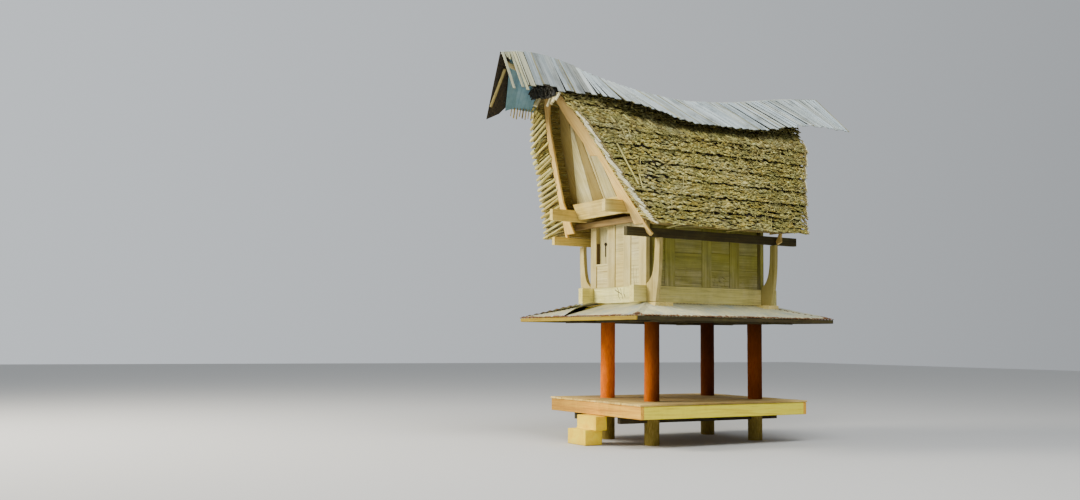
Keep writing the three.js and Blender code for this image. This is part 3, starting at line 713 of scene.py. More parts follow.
def add_hatch(pale, brown, dark):
    """The recessed hatch leaf of two pale boards, a brown board painted dark as the jamb's shade at its left,
    and a dark peg.
    """
    low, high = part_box("hatch_leaf")
    wall_low, wall_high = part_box("front_wall")
    leaf = Piece("hatch_leaf_boards")
    seam, y = (low.x + high.x) / 2 + 0.02, (high.y + wall_high.y) / 2
    for x0, x1, tone in ((low.x, seam - 0.002, 0.7), (seam + 0.002, high.x, 0.8)):
        foot = Vector(((x0 + x1) / 2, y, low.z))
        leaf.plank(foot, foot + Z * (high.z - low.z), x1 - x0, high.y - wall_high.y, -Y, (tone, 0.3))
    leaf.make("pale_boards", pale, "hatch_leaf")
    jamb = Piece("hatch_brown_board")
    front = wall_low.y + 0.006
    foot = Vector((STUDS_FRONT[0][1], (front + wall_high.y) / 2, HATCH[0]))
    # Painted shade: the jamb board's low tone stands for the shadow on the jamb
    jamb.plank(foot, foot + Z * (JAMB_SHADE_TOP - HATCH[0]), wall_high.y - front, 0.012, X, (0.1, 0.8))
    jamb.make("pale_boards", brown)
    peg = Piece("hatch_peg")
    stations = [(PEG_PLACE + Z * z, X * size, Y * size) for z, size in PEG_RINGS]
    peg.sweep(stations, circle(PEG_RADIUS, 14), (0.3, 0.8))
    peg.make("pale_boards", dark)


CRACK_WIDTH = 0.012
# Cracks in the front, each a line of (x, z) points: on the sill, then in the third panel
SILL_CRACKS = (((0.02, 2.8), (0.07, 2.72), (0.05, 2.66), (0.12, 2.57)),
               ((0.07, 2.72), (0.16, 2.68), (0.2, 2.6)), ((-0.05, 2.77), (0.02, 2.73), (0.07, 2.72)),
               ((0.24, 2.8), (0.23, 2.69), (0.27, 2.62)), ((0.12, 2.79), (0.16, 2.68)))
PANEL_CRACKS = (((0.5, 3.2), (0.49, 3.05), (0.52, 2.85)), ((0.58, 3.12), (0.57, 2.98), (0.59, 2.86)))
# Broken patch of the right wall, from one (y, z) corner to the other, and its number of slivers
BROKEN_PATCH = ((0.27, 2.85), (0.62, 3.04))
SLIVERS = 60


def add_cracks(dark):
    """Dark slivers in the cracks of the front sill, of one panel and of the right wall's broken patch."""
    piece = Piece("front_cracks")
    draw = piece.random
    sill_y, wall_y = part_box("sill_front")[0].y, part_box("front_wall")[0].y
    for y, lines in ((sill_y - 0.001, SILL_CRACKS), (wall_y + PANEL_RELIEF - 0.002, PANEL_CRACKS)):
        for line in lines:
            points = [Vector((x, y + 0.004, z)) for x, z in line]
            for start, end in zip(points, points[1:]):
                piece.plank(start, end, CRACK_WIDTH * draw.uniform(0.6, 1.5), 0.008, -Y, (0.2, 0.8))
    (y0, z0), (y1, z1) = BROKEN_PATCH
    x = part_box("right_wall")[1].x - PANEL_RELIEF
    for _ in range(SLIVERS):
        middle = Vector((x, draw.uniform(y0, y1), draw.uniform(z0, z1)))
        rise = draw.choice((-0.8, 0.9, 0.1)) + draw.gauss(0, 0.15)
        half = Vector((0, 1, rise)).normalized() * draw.uniform(0.008, 0.028)
        piece.plank(middle - half, middle + half, CRACK_WIDTH * draw.uniform(0.25, 0.5), 0.006, X, (1.0, 0.8))
    piece.make("dark_beam", dark)


# Gable boards: x of each seam at its foot and at APEX_Z, and the shade of the board on its right
APEX_Z = 6.1
GABLE_SEAMS = ((-1.2, -1.2, (0.2, 1.0)), (-1.0, 0.0, (1.0, 0.3)), (-0.402, -0.048, (0.25, 1.0)),
               (-0.03, 0.02, (1.0, 0.6)), (0.03, 0.13, (0.9, 0.35)), (0.42, 0.2, (0.85, 0.6)),
               (0.95, 0.0, (0.7, 0.9)), (1.2, 1.2, None))
SEAM_GAP = 0.008
GABLE_STEPS = 24
BARGE_LEAN_X = 0.46


def gable_half_width(node):
    """Function from a height to half the gable's width, from its CAD outline, and the two end heights."""
    corners = [v.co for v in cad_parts[node].data.vertices if v.co.x > -1e-3]
    points = sorted({(round(corner.z, 3), round(corner.x, 3)) for corner in corners})

    def at(z):
        for (z0, x0), (z1, x1) in zip(points, points[1:]):
            if z0 <= z <= z1 and z1 > z0:
                return x0 + (x1 - x0) * (z - z0) / (z1 - z0)
        return 0.0

    return at, points[0][0], points[-1][0]


def add_gable(row, sign, finish):
    """Leaning gable of boards on a backing painted dark as the shade behind their seams, with painted shade
    at its top.
    """
    half_width, bottom, top = gable_half_width(f"gable_{row}")
    heights = [bottom + (top - bottom) * k / GABLE_STEPS for k in range(GABLE_STEPS + 1)]
    piece = Piece(f"gable_{row}_boards")

    def place(x, z, depth):
        return Vector((x, sign * (GABLE_FOOT_Y + LEAN * (z - LEAN_Z) - depth), z))

    for (foot, head, shade), (next_foot, next_head, _) in zip(GABLE_SEAMS, GABLE_SEAMS[1:]):
        left, right = [], []
        for z in heights:
            rise = (z - bottom) / (APEX_Z - bottom)
            x0 = max(foot + (head - foot) * rise + SEAM_GAP, -half_width(z))
            x1 = min(next_foot + (next_head - next_foot) * rise - SEAM_GAP, half_width(z))
            if x1 - x0 > 0.012:
                left.append((x0, z))
                right.append((x1, z))
        if len(left) > 1:
            piece.prism(right + left[::-1], place, 0.002, 0.022, shade)
    backing = [(half_width(z) * 0.99, z) for z in heights]
    # Backing painted dark as the shade behind the seams
    piece.prism(backing + [(-x, z) for x, z in backing[::-1]], place, 0.026, 0.038, (0.0, 1.0), chamfer=0.0)
    # Painted shade of the ridge cap: darker towards the top
    piece.reshade(lambda tone, tint, point: (tone * fade(point.z, *GABLE_SHADE_Z, 1.0, 0.1), tint))
    piece.make("pale_boards", finish, f"gable_{row}")


def add_gables(pale, tan):
    for row, sign in ENDS:
        add_gable(row, sign, pale)
        for side, way in SIDES:
            along = (-way * BARGE_LEAN_X, sign * LEAN, 1)
            # Their tops take painted shade of the ridge cap, with head 0
            timber(f"barge_board_{row}_{side}", along, "barge_wood", tan, 1.0, 0.6, chamfer=0.005, dent=0.005,
                   head=0.0)


# Thatch

COURSE_FOOT_Z = 3.79
LAYER_HEIGHT = 0.095
ROWS_OF_A_LAYER = 3
ROW_RISE = 0.026
CANE_WIDTHS, CANE_HEIGHTS = (0.028, 0.09), (0.012, 0.03)
CANE_LENGTH, STUB_LENGTH, SHORTEST_CANE = 0.5, 0.2, 0.06
# Heights and the angles above level there, in degrees, of the canes, and of the culms and laths in the ends
CANE_PITCHES = ((COURSE_FOOT_Z, 14.0), (5.5, 27.0))
CULM_PITCHES = ((3.8, 20.5), (4.8, 24.0), (5.4, 30.0), (9.0, 32.0))
LATH_PITCHES = ((3.8, 27.0), (4.3, 38.0), (4.8, 48.0), (5.6, 57.0))
END_SPLAY = {"left": 0.38, "right": 0.0}
CORE_INSET = 0.085
CORE_END_INSET = 0.13
# Ends (y, z) and radius of the two placed sticks; the other sticks are strewn up to STICKS_TOP
PLACED_STICKS = (((-2.054, 5.227), (-1.845, 4.492), 0.016), ((-1.743, 4.816), (-1.786, 4.424), 0.01))
STREWN_STICKS = 120
STICKS_TOP = 5.7
# Heights of the two thick culms in an end, and up to which culms and laths go
THICK_CULMS = (5.2, 5.37)
CULMS_TOP = 6.1
LATHS_TOP = 5.75
BATTENS_FROM, BATTENS_TO, BATTEN_PITCH = 4.34, 6.1, 0.034


def end_y(z):
    return THATCH_FOOT_Y + LEAN * (z - LEAN_Z)


def pitch_at(z, table):
    """Angle above level in radians."""
    for (z0, low), (z1, high) in zip(table, table[1:]):
        if z <= z1:
            return math.radians(fade(z, z0, z1, low, high))
    return math.radians(table[-1][1])


class Slope:
    """One slope of thatch. Rays find the outside and the underside of its CAD solid."""

    def __init__(self, side, sign):
        self.side, self.sign, self.node = side, sign, f"thatch_{side}"
        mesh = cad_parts[self.node].data
        self.tree = BVHTree.FromPolygons([v.co for v in mesh.vertices], [p.vertices for p in mesh.polygons])

    def outside(self, y, z):
        return self.tree.ray_cast(Vector((self.sign * 4, y, z)), Vector((-self.sign, 0, 0)))[0]

    def underside(self, y, z):
        return self.tree.ray_cast(Vector((0, y, z)), Vector((self.sign, 0, 0)))[0]

    def inward(self, y, z, tilt):
        """Direction of a cane from its outer end, up and in; towards the ends it follows their lean."""
        run, rise = math.cos(tilt), math.sin(tilt)
        fan = (END_SPLAY[self.side] * run - LEAN * rise) * y / end_y(z)
        return Vector((-self.sign * run, -fan, rise)).normalized()

    def room(self, start, inward):
        """Length from just inside the surface to where a cane would leave the solid."""
        return (self.tree.ray_cast(start + inward * 0.03, inward)[3] or 0.0) + 0.02


def add_thatch(canes, culms, laths, core):
    """Stacked layers of split canes on a core painted dark as shade, with dressed ends before the gables."""
    slopes = [Slope(side, sign) for side, sign in SIDES]
    for slope, add_ends, finish in zip(slopes, (add_end_culms, add_end_laths), (culms, laths)):
        add_canes(slope, canes)
        add_core(slope, core)
        ends = Piece(f"thatch_{slope.side}_ends")
        add_ends(slope, ends)
        ends.make("bamboo_thatch", finish, smooth=True)
    add_battens(slopes, culms)


def add_canes(slope, finish):
    """Each layer has rows of flattened split canes, set back row by row, with a gap above them where the
    core's painted shade shows.
    """
    piece = Piece(f"thatch_{slope.side}_canes")
    draw = piece.random
    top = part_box(slope.node)[1].z
    for layer in range(int((top - COURSE_FOOT_Z) / LAYER_HEIGHT)):
        foot = COURSE_FOOT_Z + LAYER_HEIGHT * (layer + 0.2)
        reach = end_y(foot) - 0.05
        for row in range(ROWS_OF_A_LAYER):
            y = -reach
            while y < reach:
                width = draw.uniform(*CANE_WIDTHS)
                add_cane(slope, piece, y + width / 2, foot + row * ROW_RISE, width, layer, row, reach)
                y += width * draw.uniform(0.9, 1.15)
    add_loose_sticks(slope, piece)
    piece.make("bamboo_thatch", finish, slope.node, smooth=True)


def cane_tone(y, z):
    """Average tone of the canes: lighter low down, painted shade of the ridge cap high up, darker towards the
    rear.
    """
    return 0.15 + 0.65 * fade(z, 5.1, 5.6, 1.0, 0.0) * fade(y, 0.6, 1.0, 1.0, 0.6)


def add_cane(slope, piece, y, z, width, layer, row, reach):
    """One split cane with its end at the slope's outside, unless it has rotted away."""
    draw = piece.random
    decay = max(0.0, noise.noise(Vector((y * 1.1, z * 2.1, 9 * slope.sign))))
    edge = reach - abs(y)
    z += draw.gauss(0, 0.008) + 0.016 * noise.noise(Vector((y * 1.3, layer * 0.7, 3)))
    hit = slope.outside(y, z)
    if hit is None or (edge > 0.1 and draw.random() < 0.08 + 0.35 * decay):
        return
    inward = slope.inward(y, z, pitch_at(z, CANE_PITCHES) + draw.gauss(0, 0.11))
    inward.y += draw.gauss(0, 0.12)
    clump = noise.noise(Vector((y * 5, z * 9, 4 + slope.sign)))
    slack = 0.009 * row + max(-0.002, draw.gauss(0.01, 0.012) + 0.03 * clump) + 0.12 * draw.random() * decay
    start = hit + inward * slack
    long = edge < CANE_LENGTH or layer == 0
    length = min(CANE_LENGTH if long else STUB_LENGTH, slope.room(start, inward))
    if length < SHORTEST_CANE:
        return
    sideways = Vector((0, 1, draw.gauss(0, 0.2))).normalized()
    up = sideways.cross(inward) * slope.sign
    shade = (clipped(draw.gauss(cane_tone(y, z), 0.36)), clipped(draw.gauss(0.5, 0.35)))
    taper = draw.uniform(0.8, 0.95)
    piece.sweep([(start, sideways, up), (start + inward * length, sideways * taper, up * taper)],
                flat_cane(width, draw.uniform(*CANE_HEIGHTS)), shade)


def add_loose_sticks(slope, piece):
    """Sticks and thin splints that lie on the slope."""
    draw = piece.random
    sticks = [(*stick, 1.0) for stick in PLACED_STICKS]
    for _ in range(STREWN_STICKS):
        z = draw.uniform(COURSE_FOOT_Z + 0.1, STICKS_TOP)
        y = draw.uniform(-1, 1) * (end_y(z) - 0.2)
        lean, half = draw.gauss(0.5, 0.8), draw.uniform(0.03, 0.11)
        away, rise = half * math.sin(lean), half * math.cos(lean)
        radius = draw.uniform(0.004, 0.007)
        sticks.append(((y - away, z - rise), (y + away, z + rise), radius, draw.uniform(0.3, 0.9)))
    for first, second, radius, tone in sticks:
        ends = [slope.outside(*first), slope.outside(*second)]
        if None not in ends:
            piece.culm(*ends, radius, (tone, draw.uniform(0.1, 0.6)), sides=6, node_gap=0.2)


def add_core(slope, finish):
    """Core of packed bamboo behind the canes' ends; its outer side is painted near black as shade."""
    bm = welded(slope.node)
    bm.normal_update()
    tone = bm.verts.layers.float.new("tone")
    for vertex in bm.verts:
        x, _, z = vertex.co
        outer = vertex.normal.x * slope.sign > 0
        # Tone 0 on the outer side gives the core's painted shade; the underside keeps its brown
        vertex[tone] = 0.0 if outer else 1.0
        vertex.co.x -= slope.sign * min(CORE_INSET if outer else -0.012, abs(x) * 0.5)
        vertex.co.y *= 1 - CORE_END_INSET / end_y(z)
        vertex.co.z += 0.05 if z < COURSE_FOOT_Z + 0.02 else (-CORE_INSET if abs(x) < 0.01 else 0.0)
    settle_welded(bm, f"thatch_{slope.side}_core", "bamboo_thatch", finish)


def end_layers(slope, draw, per_layer, top):
    """Outer end points of what lies in the two ends of a slope, with the end's sign and the height."""
    step = LAYER_HEIGHT / per_layer
    for end in (-1, 1):
        for k in range(int((top - COURSE_FOOT_Z) / step)):
            z = COURSE_FOOT_Z + step * (k + 0.4) + draw.gauss(0, 0.006)
            hit = slope.outside(end * (end_y(z) - 0.035), z)
            if hit is not None:
                yield end, z, hit


def add_end_culms(slope, piece):
    """One pale culm for each layer, across the slope's end from its outside to its underside, and a darker,
    browner one in the gap above it, partly painted shade of the gap. Two culms near the top are thicker and
    paler than the rest."""
    draw = piece.random
    for end, z, hit in end_layers(slope, draw, 1, CULMS_TOP):
        inward = slope.inward(hit.y, z, pitch_at(z, CULM_PITCHES) + draw.gauss(0, 0.03))
        thick = any(abs(z - at) < LAYER_HEIGHT / 2 for at in THICK_CULMS)
        start = hit + inward * (-0.03 if thick else draw.uniform(-0.02, 0.03))
        length = min(0.66, slope.room(start, inward) + 0.08) * draw.uniform(0.93, 1.0)
        radius = 0.037 if thick else draw.uniform(0.021, 0.031)
        shade = (1.0, 0.1) if thick else (draw.uniform(0.75, 1.0), draw.uniform(0.2, 0.9))
        piece.culm(start, start + inward * max(length, 0.12), radius, shade)
        back = start + Vector((0, -end * 0.035, 0.05)) + inward * draw.uniform(0.0, 0.05)
        # The culm in the gap is painted darker, partly as the gap's shade
        piece.culm(back, back + inward * max(length - 0.05, 0.1), draw.uniform(0.016, 0.024),
                   (draw.uniform(0.1, 0.7), draw.uniform(0.6, 1.0)))


def add_end_laths(slope, piece):
    """Bleached laths and a row of brown ones behind them, painted dark as the shade between them, along the
    slope's end.
    """
    draw = piece.random
    for end, z, hit in end_layers(slope, draw, 2, LATHS_TOP):
        for row in range(2):
            inward = slope.inward(hit.y, z, pitch_at(z, LATH_PITCHES) + draw.gauss(0, 0.025))
            start = hit + inward * draw.uniform(-0.02, 0.04) + Vector((0, -end * 0.03 * row, 0.02 * row))
            length = min(draw.uniform(0.55, 0.8), slope.room(start, inward) + 0.05)
            sideways = Vector((0, 1, draw.gauss(0, 0.1))).normalized()
            up = inward.cross(sideways)
            # The back row is painted dark as shade
            shade = (0.0, 1.0) if row else (draw.uniform(0.75, 1.0), draw.uniform(0.0, 0.4))
            piece.sweep([(start, sideways, up), (start + inward * length, sideways * 0.9, up * 0.9)],
                        slab(draw.uniform(0.024, 0.034), draw.uniform(0.018, 0.027), 0.004), shade)


def add_battens(slopes, finish):
    """Battens under the thatch between each gable and its barge boards, thick at the gable, then thin.
    Their tones are painted shade, darkest in the half by the gable.
    """
    piece = Piece("thatch_battens")
    draw = piece.random
    for slope in slopes:
        for _, end in ENDS:
            z = BATTENS_FROM
            while z < BATTENS_TO:
                lean = LEAN * (z - LEAN_Z)
                y0, y1 = end * (GABLE_FOOT_Y + lean + 0.01), end * (BARGE_FOOT_Y + lean - 0.05)
                middle = (y0 + y1) / 2 + draw.uniform(-0.02, 0.02)
                # Painted shade: dark tones, the half by the gable darker
                for near, far, tone, radius in ((y0, middle, 0.05, 0.01), (middle, y1, 0.25, 0.006)):
                    hits = [slope.underside(y, z) for y in (near, far)]
                    if None not in hits:
                        inset = Vector((-slope.sign * 0.006, 0, draw.gauss(0, 0.003)))
                        piece.culm(hits[0] + inset, hits[1] + inset, radius * draw.uniform(0.8, 1.1),
                                   (clipped(tone + draw.gauss(0, 0.15)), draw.uniform(0.7, 1.0)), sides=6)
                z += BATTEN_PITCH * draw.uniform(0.85, 1.15)
    piece.make("bamboo_thatch", finish)


# Ridge cap

STRIP_WIDTHS, FRAYED_WIDTHS, NARROW_WIDTHS = (0.05, 0.17), (0.03, 0.07), (0.02, 0.04)
STRIP_THICKNESS = 0.013
STRIP_SKEW = 0.34
STRIP_STEPS = 7
CAP_LINING = 0.012
LINING_REACH = {"left": 0.99, "right": 0.88}
LINING_COLUMNS = 6
# The right flap is frayed in front of FRAYED_Y and worn short in front of WORN_Y
FRAYED_Y = -3.45
WORN_Y = -2.95
RIDGE_POLE_RADIUS = 0.03


def cap_sections(side):
    """Rows of points on the cap's underside, from the ridge to the flap's edge, one row for each station."""
    rows = {}
    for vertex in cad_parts[f"ridge_cap_{side}"].data.vertices:
        y, x = round(vertex.co.y, 3), round(abs(vertex.co.x), 3)
        rows.setdefault(y, {}).setdefault(x, []).append(vertex.co)
    return [[min(points, key=lambda p: p.z).copy() for _, points in sorted(row.items())]
            for _, row in sorted(rows.items())]


def cap_point(sections, y, share):
    """Point of the underside at y, from the ridge (share 0) to the flap's edge (share 1)."""
    y = min(max(y, sections[0][0].y), sections[-1][0].y)
    k = max(k for k in range(len(sections) - 1) if sections[k][0].y <= y)
    t = (y - sections[k][0].y) / (sections[k + 1][0].y - sections[k][0].y)
    position = share * (len(sections[0]) - 1)
    n = min(int(position), len(sections[0]) - 2)
    near, far = (row[n].lerp(row[n + 1], position - n) for row in (sections[k], sections[k + 1]))
    return near.lerp(far, t)


def add_ridge_cap(boards, lining):
    """Weathered boards laid from the ridge down each side, on a lining painted dark as the shade under them.
    """
    for side, _ in SIDES:
        sections = cap_sections(side)
        piece = Piece(f"ridge_boards_{side}")
        draw = piece.random
        y, last, number = sections[0][0].y + 0.02, sections[-1][0].y, 0
        while y < last - 0.04:
            frayed = y < FRAYED_Y
            width = min(draw.uniform(*(FRAYED_WIDTHS if frayed else STRIP_WIDTHS)), last - y)
            add_strip(piece, sections, side, y + width / 2, width, number)
            y += width
            number += 1
            if draw.random() < 0.3 and not frayed:
                width = draw.uniform(*NARROW_WIDTHS)
                add_strip(piece, sections, side, y, width, number, (draw.uniform(0.1, 0.5), 1.0))
        piece.make("grey_bamboo", boards, f"ridge_cap_{side}")
        add_lining(side, sections, lining)


def add_ridge_pole(finish):
    """Grey bamboo poles, end to end, in the seam between the boards of both sides."""
    piece = Piece("ridge_pole")
    draw = piece.random
    sections = cap_sections("right")
    y, last = sections[0][0].y + 0.03, sections[-1][0].y - 0.03
    while y < last - 0.2:
        end = min(y + draw.uniform(1.3, 2.0), last)
        count = max(3, int((end - y) / 0.11))
        stations = []
        for k in range(count + 1):
            size = draw.uniform(0.92, 1.06)
            place = cap_point(sections, y + (end - y) * k / count, 0.0) - Z * 0.008
            stations.append((place, X * size, Z * size))
        piece.sweep(stations, circle(RIDGE_POLE_RADIUS, 10), (draw.uniform(0.3, 0.8), draw.uniform(0.2, 0.8)))
        y = end + 0.004
    piece.make("grey_bamboo", finish, smooth=True)


def strip_end(draw, side, y):
    """How far down the flap a strip reaches: 0 is the ridge, 1 the flap's edge."""
    if side == "right" and y < FRAYED_Y:
        return draw.choice((0.16, 0.2, 0.9)) if y < FRAYED_Y - 0.05 else 0.97
    worn = 0.1 if side == "right" and y < WORN_Y else 0.0
    return 1.0 - worn - draw.uniform(0.0, 0.05) - (draw.uniform(0.02, 0.08) if draw.random() < 0.2 else 0.0)


def add_strip(piece, sections, side, middle, width, number, shade=None):
    """One board from the ridge to the flap's edge, skewed except near the two ends of the cap."""
    draw = piece.random
    skew = STRIP_SKEW * fade(middle, -2.2, -1.0, 0.0, 1.0) * fade(middle, 2.7, 3.9, 1.0, 0.0)
    skew += draw.uniform(-0.02, 0.02)
    reach = strip_end(draw, side, middle)
    lift = CAP_LINING + 0.005 * (number % 2) + draw.uniform(0.0, 0.003) + (0.004 if shade else 0.0)
    limit = sections[-1][0].y - width / 2 - 0.015
    shares = [k / STRIP_STEPS for k in range(STRIP_STEPS + 1)]
    line = [cap_point(sections, min(limit, middle + skew * share), 0.02 + (reach - 0.02) * share)
            for share in shares]
    stations = []
    for k, place in enumerate(line):
        ahead = (line[min(k + 1, STRIP_STEPS)] - line[max(k - 1, 0)]).normalized()
        across = (Y - ahead * ahead.y).normalized()
        up = across.cross(ahead)
        up = up if up.z > 0 else -up
        stations.append((place + up * (lift + STRIP_THICKNESS / 2), across, up))
    if not shade and (middle < -3.3 or draw.random() < 0.08):
        shade = (draw.uniform(0.45, 1.0), draw.uniform(0.75, 1.0))
    elif not shade:
        shade = (clipped(draw.gauss(0.12 if middle < -2.2 else 0.75, 0.15)), draw.uniform(0.0, 0.4))
    width += draw.uniform(-0.014, 0.006)
    piece.sweep(stations, slab(width, STRIP_THICKNESS, 0.004), shade, dent=0.003)


def add_lining(side, sections, finish):
    """Thin sheet painted dark as the shade under one flap's boards; on the right it starts behind the frayed
    boards.
    """
    lining = Piece(f"ridge_lining_{side}")
    first = FRAYED_Y if side == "right" else sections[0][0].y + 0.01
    stations = [first] + [row[0].y for row in sections if row[0].y > first + 0.05]
    stations[-1] -= 0.02
    for lift in (0.0, CAP_LINING):
        for y in stations:
            for k in range(LINING_COLUMNS):
                point = cap_point(sections, y, LINING_REACH[side] * k / (LINING_COLUMNS - 1))
                # Tone 0: painted shade
                lining.add(point + Z * lift, point, (0.0, 0.5))
    lining.closed_sheet(len(stations), LINING_COLUMNS)
    lining.make("grey_bamboo", finish)


# Roof front, under the tip of the ridge cap

SHEET_HANG = 0.13
SHEET_POINTS = 8
SHEET_FRONT_Y, SHEET_REAR_Y = -3.56, -2.62
# The two ends and the radius of each pole under the tip, with its tone and tint
FRONT_POLES = (((-0.08, -3.6, 6.58), (-0.4, -3.71, 5.95), 0.028, (0.3, 1.0)),
               ((0, -2.6, 6.36), (0, -3.62, 6.66), 0.045, (0.35, 0.8)))
# x, top and foot of each pale cane that hangs below the charred ones
HANGING_CANES = ((-0.18, 6.17, 6.02), (-0.12, 6.15, 6.0), (0.27, 6.1, 5.93), (0.41, 6.17, 5.94),
                 (0.46, 6.15, 5.97), (0.56, 6.13, 5.99))
FLAP_CANES = 9
CHARRED_CANES = 130


def add_front_sheet(finish):
    """Plain sheet inside the left flap, which hangs lower towards the flap's edge."""
    sections = cap_sections("left")
    sheet = Piece("ridge_front_sheet")
    for back in (0.0, 0.004):
        for i in range(SHEET_POINTS):
            for j in range(SHEET_POINTS):
                share = 0.1 + 0.88 * j / (SHEET_POINTS - 1)
                front = SHEET_FRONT_Y + 0.2 * share
                y = front + (SHEET_REAR_Y - front) * i / (SHEET_POINTS - 1)
                point = cap_point(sections, y, share)
                hang = fade(y, -3.45, -3.2, 0.0, SHEET_HANG * share ** 3)
                point += Vector((0.03, 0, -0.012 - back - hang + 0.008 * noise.noise(point * 4)))
                sheet.add(point, Vector((1 + j * 0.1, y, 0)), (1.0, 0.0))
    sheet.closed_sheet(SHEET_POINTS, SHEET_POINTS)
    sheet.make("zinc_sheet", finish)


def add_front_poles(finish):
    """Two poles, pale canes that hang in the middle, and short ones along the left flap's edge."""
    poles = Piece("ridge_front_poles")
    draw = poles.random.uniform
    for start, end, radius, shade in FRONT_POLES:
        poles.culm(Vector(start), Vector(end), radius, shade)
    for x, top, foot in HANGING_CANES:
        poles.culm(Vector((x, -2.86, top)), Vector((x, -2.94, foot)), 0.024, (1.0, draw(0.3, 0.7)), sides=8)
    for k in range(FLAP_CANES):
        y = -3.22 + 0.06 * k
        end = Vector((-0.56, y, 5.88 - draw(0.0, 0.06)))
        poles.culm(Vector((-0.51, y, 6.02)), end, draw(0.009, 0.016), (draw(0.0, 0.5), 1.0), sides=8)
    poles.make("bamboo_thatch", finish, smooth=True)


def add_charred_canes(finish):
    """A lump of charred ends of canes above the gable, lower on its right and below both flaps."""
    lump = Piece("ridge_front_charred_ends")
    draw = lump.random.uniform
    for _ in range(CHARRED_CANES):
        x = draw(-0.44, 0.44)
        foot = 6.16 - 0.19 * x
        top = draw(foot + 0.04, min(6.38 - 0.2 * x, 6.83 - 1.33 * abs(x)))
        start = Vector((x, draw(-2.9, -2.74), top))
        end = start + Vector((0.1 * x, -draw(0.0, 0.08), -draw(0.05, 0.14)))
        end.z = max(end.z, foot - draw(0.0, 0.05))
        lump.culm(start, end, draw(0.016, 0.034), (draw(0.1, 1.0), draw(0.2, 1.0)), sides=8)
    lump.make("bamboo_thatch", finish, smooth=True)


# Corrugated skirt roof

CORRUGATION = 0.0762
CORRUGATION_DEPTH = 0.018
POINTS_OF_A_WAVE = 8
SLOPE_ROWS = 7
SHEET_WIDTH = 0.78
SPRING_HEIGHT = 0.11
EDGE_GAP = 0.004
SHEET_THICKNESS = 0.0012
# How far from a hip the sheets are rusty
HIP_RUST = 0.12
# Tones of the sheets on each slope, one after the other, and the number of the one that has sprung up
SHEET_TONES = {"front": (1.0, 1.0, 0.75, 0.95, 0.9), "right": (0.7, 0.85, 0.6, 0.8, 0.7),
               "rear": (0.85, 1.0, 0.8, 0.9), "left": (0.9, 0.75, 1.0, 0.8)}
SPRUNG = ("front", 1)
HIP_SECTION = ((-0.075, -0.016), (-0.03, -0.004), (0, 0.004), (0.03, -0.004), (0.075, -0.016),
               (0.075, -0.018), (0.03, -0.006), (0, 0.002), (-0.03, -0.006), (-0.075, -0.018))
HIP_STEPS, RUSTY_STEPS = 22, 5
# Ends of the batten painted dark as the shade under the sprung sheet, and of the tan edge of the sheet beside
# it
GAP_ENDS = ((-0.77, -2.14, 2.255), (-0.77, -1.3, 2.475))
TAN_ENDS = ((-0.37, -1.72, 2.408), (-0.35, -1.3, 2.52))
FASCIA_BOARD, FASCIA_LOW = 0.025, 2.18
RAIL_WIDTH, RAIL_TOP = 0.06, 2.25


def corrugated(name, corner, along, inward, length, rise, run, hip):
    """Corrugated sheets side by side on one slope; they rise by rise over run, and hips cut their ends.
    The tint grows to 1 at a hip."""
    piece = Piece(f"corrugated_{name}")
    draw = piece.random
    sheets, tones = math.ceil(length / SHEET_WIDTH), SHEET_TONES[name]
    for number in range(sheets):
        s0, s1 = number * length / sheets, (number + 1) * length / sheets
        width = s1 + CORRUGATION * 0.7 * (number < sheets - 1) - s0
        columns = int(width / CORRUGATION * POINTS_OF_A_WAVE)
        slip = draw.uniform(0.002, 0.018)
        height = draw.uniform(0.0, 0.003) + 0.0015 * (number % 2)
        first = len(piece.points)
        for i in range(columns + 1):
            s = max(EDGE_GAP, min(length - EDGE_GAP, s0 + width * i / columns))
            share = clipped(min(s / hip, (length - s) / hip))
            spring = SPRING_HEIGHT * (i / columns) ** 2 if (name, number) == SPRUNG else 0.0
            wave = CORRUGATION_DEPTH * (0.5 + 0.5 * math.cos(2 * math.pi * s / CORRUGATION))
            for j in range(SLOPE_ROWS + 1):
                t = share * j / SLOPE_ROWS
                sag = 0.005 * noise.noise(Vector((s * 1.5, t * 2, number)))
                up = rise * t + wave + height + sag + spring * math.sin(math.pi * t)
                point = corner + along * s + inward * (run * t + slip * (1 - t)) + Z * up
                near_hip = fade((share - t) * run, 0.0, HIP_RUST, 1.0, 0.0) if share < 1.0 else 0.0
                shade = (tones[number % len(tones)], near_hip)
                piece.add(point, Vector((run * t, s + 10 * number, 0)), shade)
        piece.grid(first, columns + 1, SLOPE_ROWS + 1)
    return piece


def add_canopy(finish):
    low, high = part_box("canopy_sheet_front")
    low_side, high_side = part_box("canopy_sheet_right")
    low_rear, high_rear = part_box("canopy_sheet_rear")
    rise = high.z - low.z - CORRUGATION_DEPTH
    front, rear, side = high.y - low.y, high_rear.y - low_rear.y, high_side.x - low_side.x
    half, length = high_side.x, high_rear.y - low.y
    slopes = (("front", -half, low.y, X, Y, 2 * half, front, side),
              ("right", half, low.y, Y, -X, length, side, front),
              ("rear", half, high_rear.y, -X, -Y, 2 * half, rear, side),
              ("left", -half, high_rear.y, -Y, X, length, side, rear))
    for name, x, y, along, inward, reach, run, hip in slopes:
        piece = corrugated(name, Vector((x, y, low.z)), along, inward, reach, rise, run, hip)
        sheet = piece.make("zinc_sheet", finish, f"canopy_sheet_{name}", smooth=True)
        sheet.modifiers.new("thickness", "SOLIDIFY").thickness = SHEET_THICKNESS
    covers = Piece("canopy_hip_covers")
    for y, run in ((low.y, front), (high_rear.y, -rear)):
        for _, sign in SIDES:
            corner = Vector((sign * half, y, low.z + CORRUGATION_DEPTH))
            add_hip_cover(covers, corner, Vector((-sign * side, run, rise)), y < 0 and sign < 0)
    covers.make("zinc_sheet", finish)


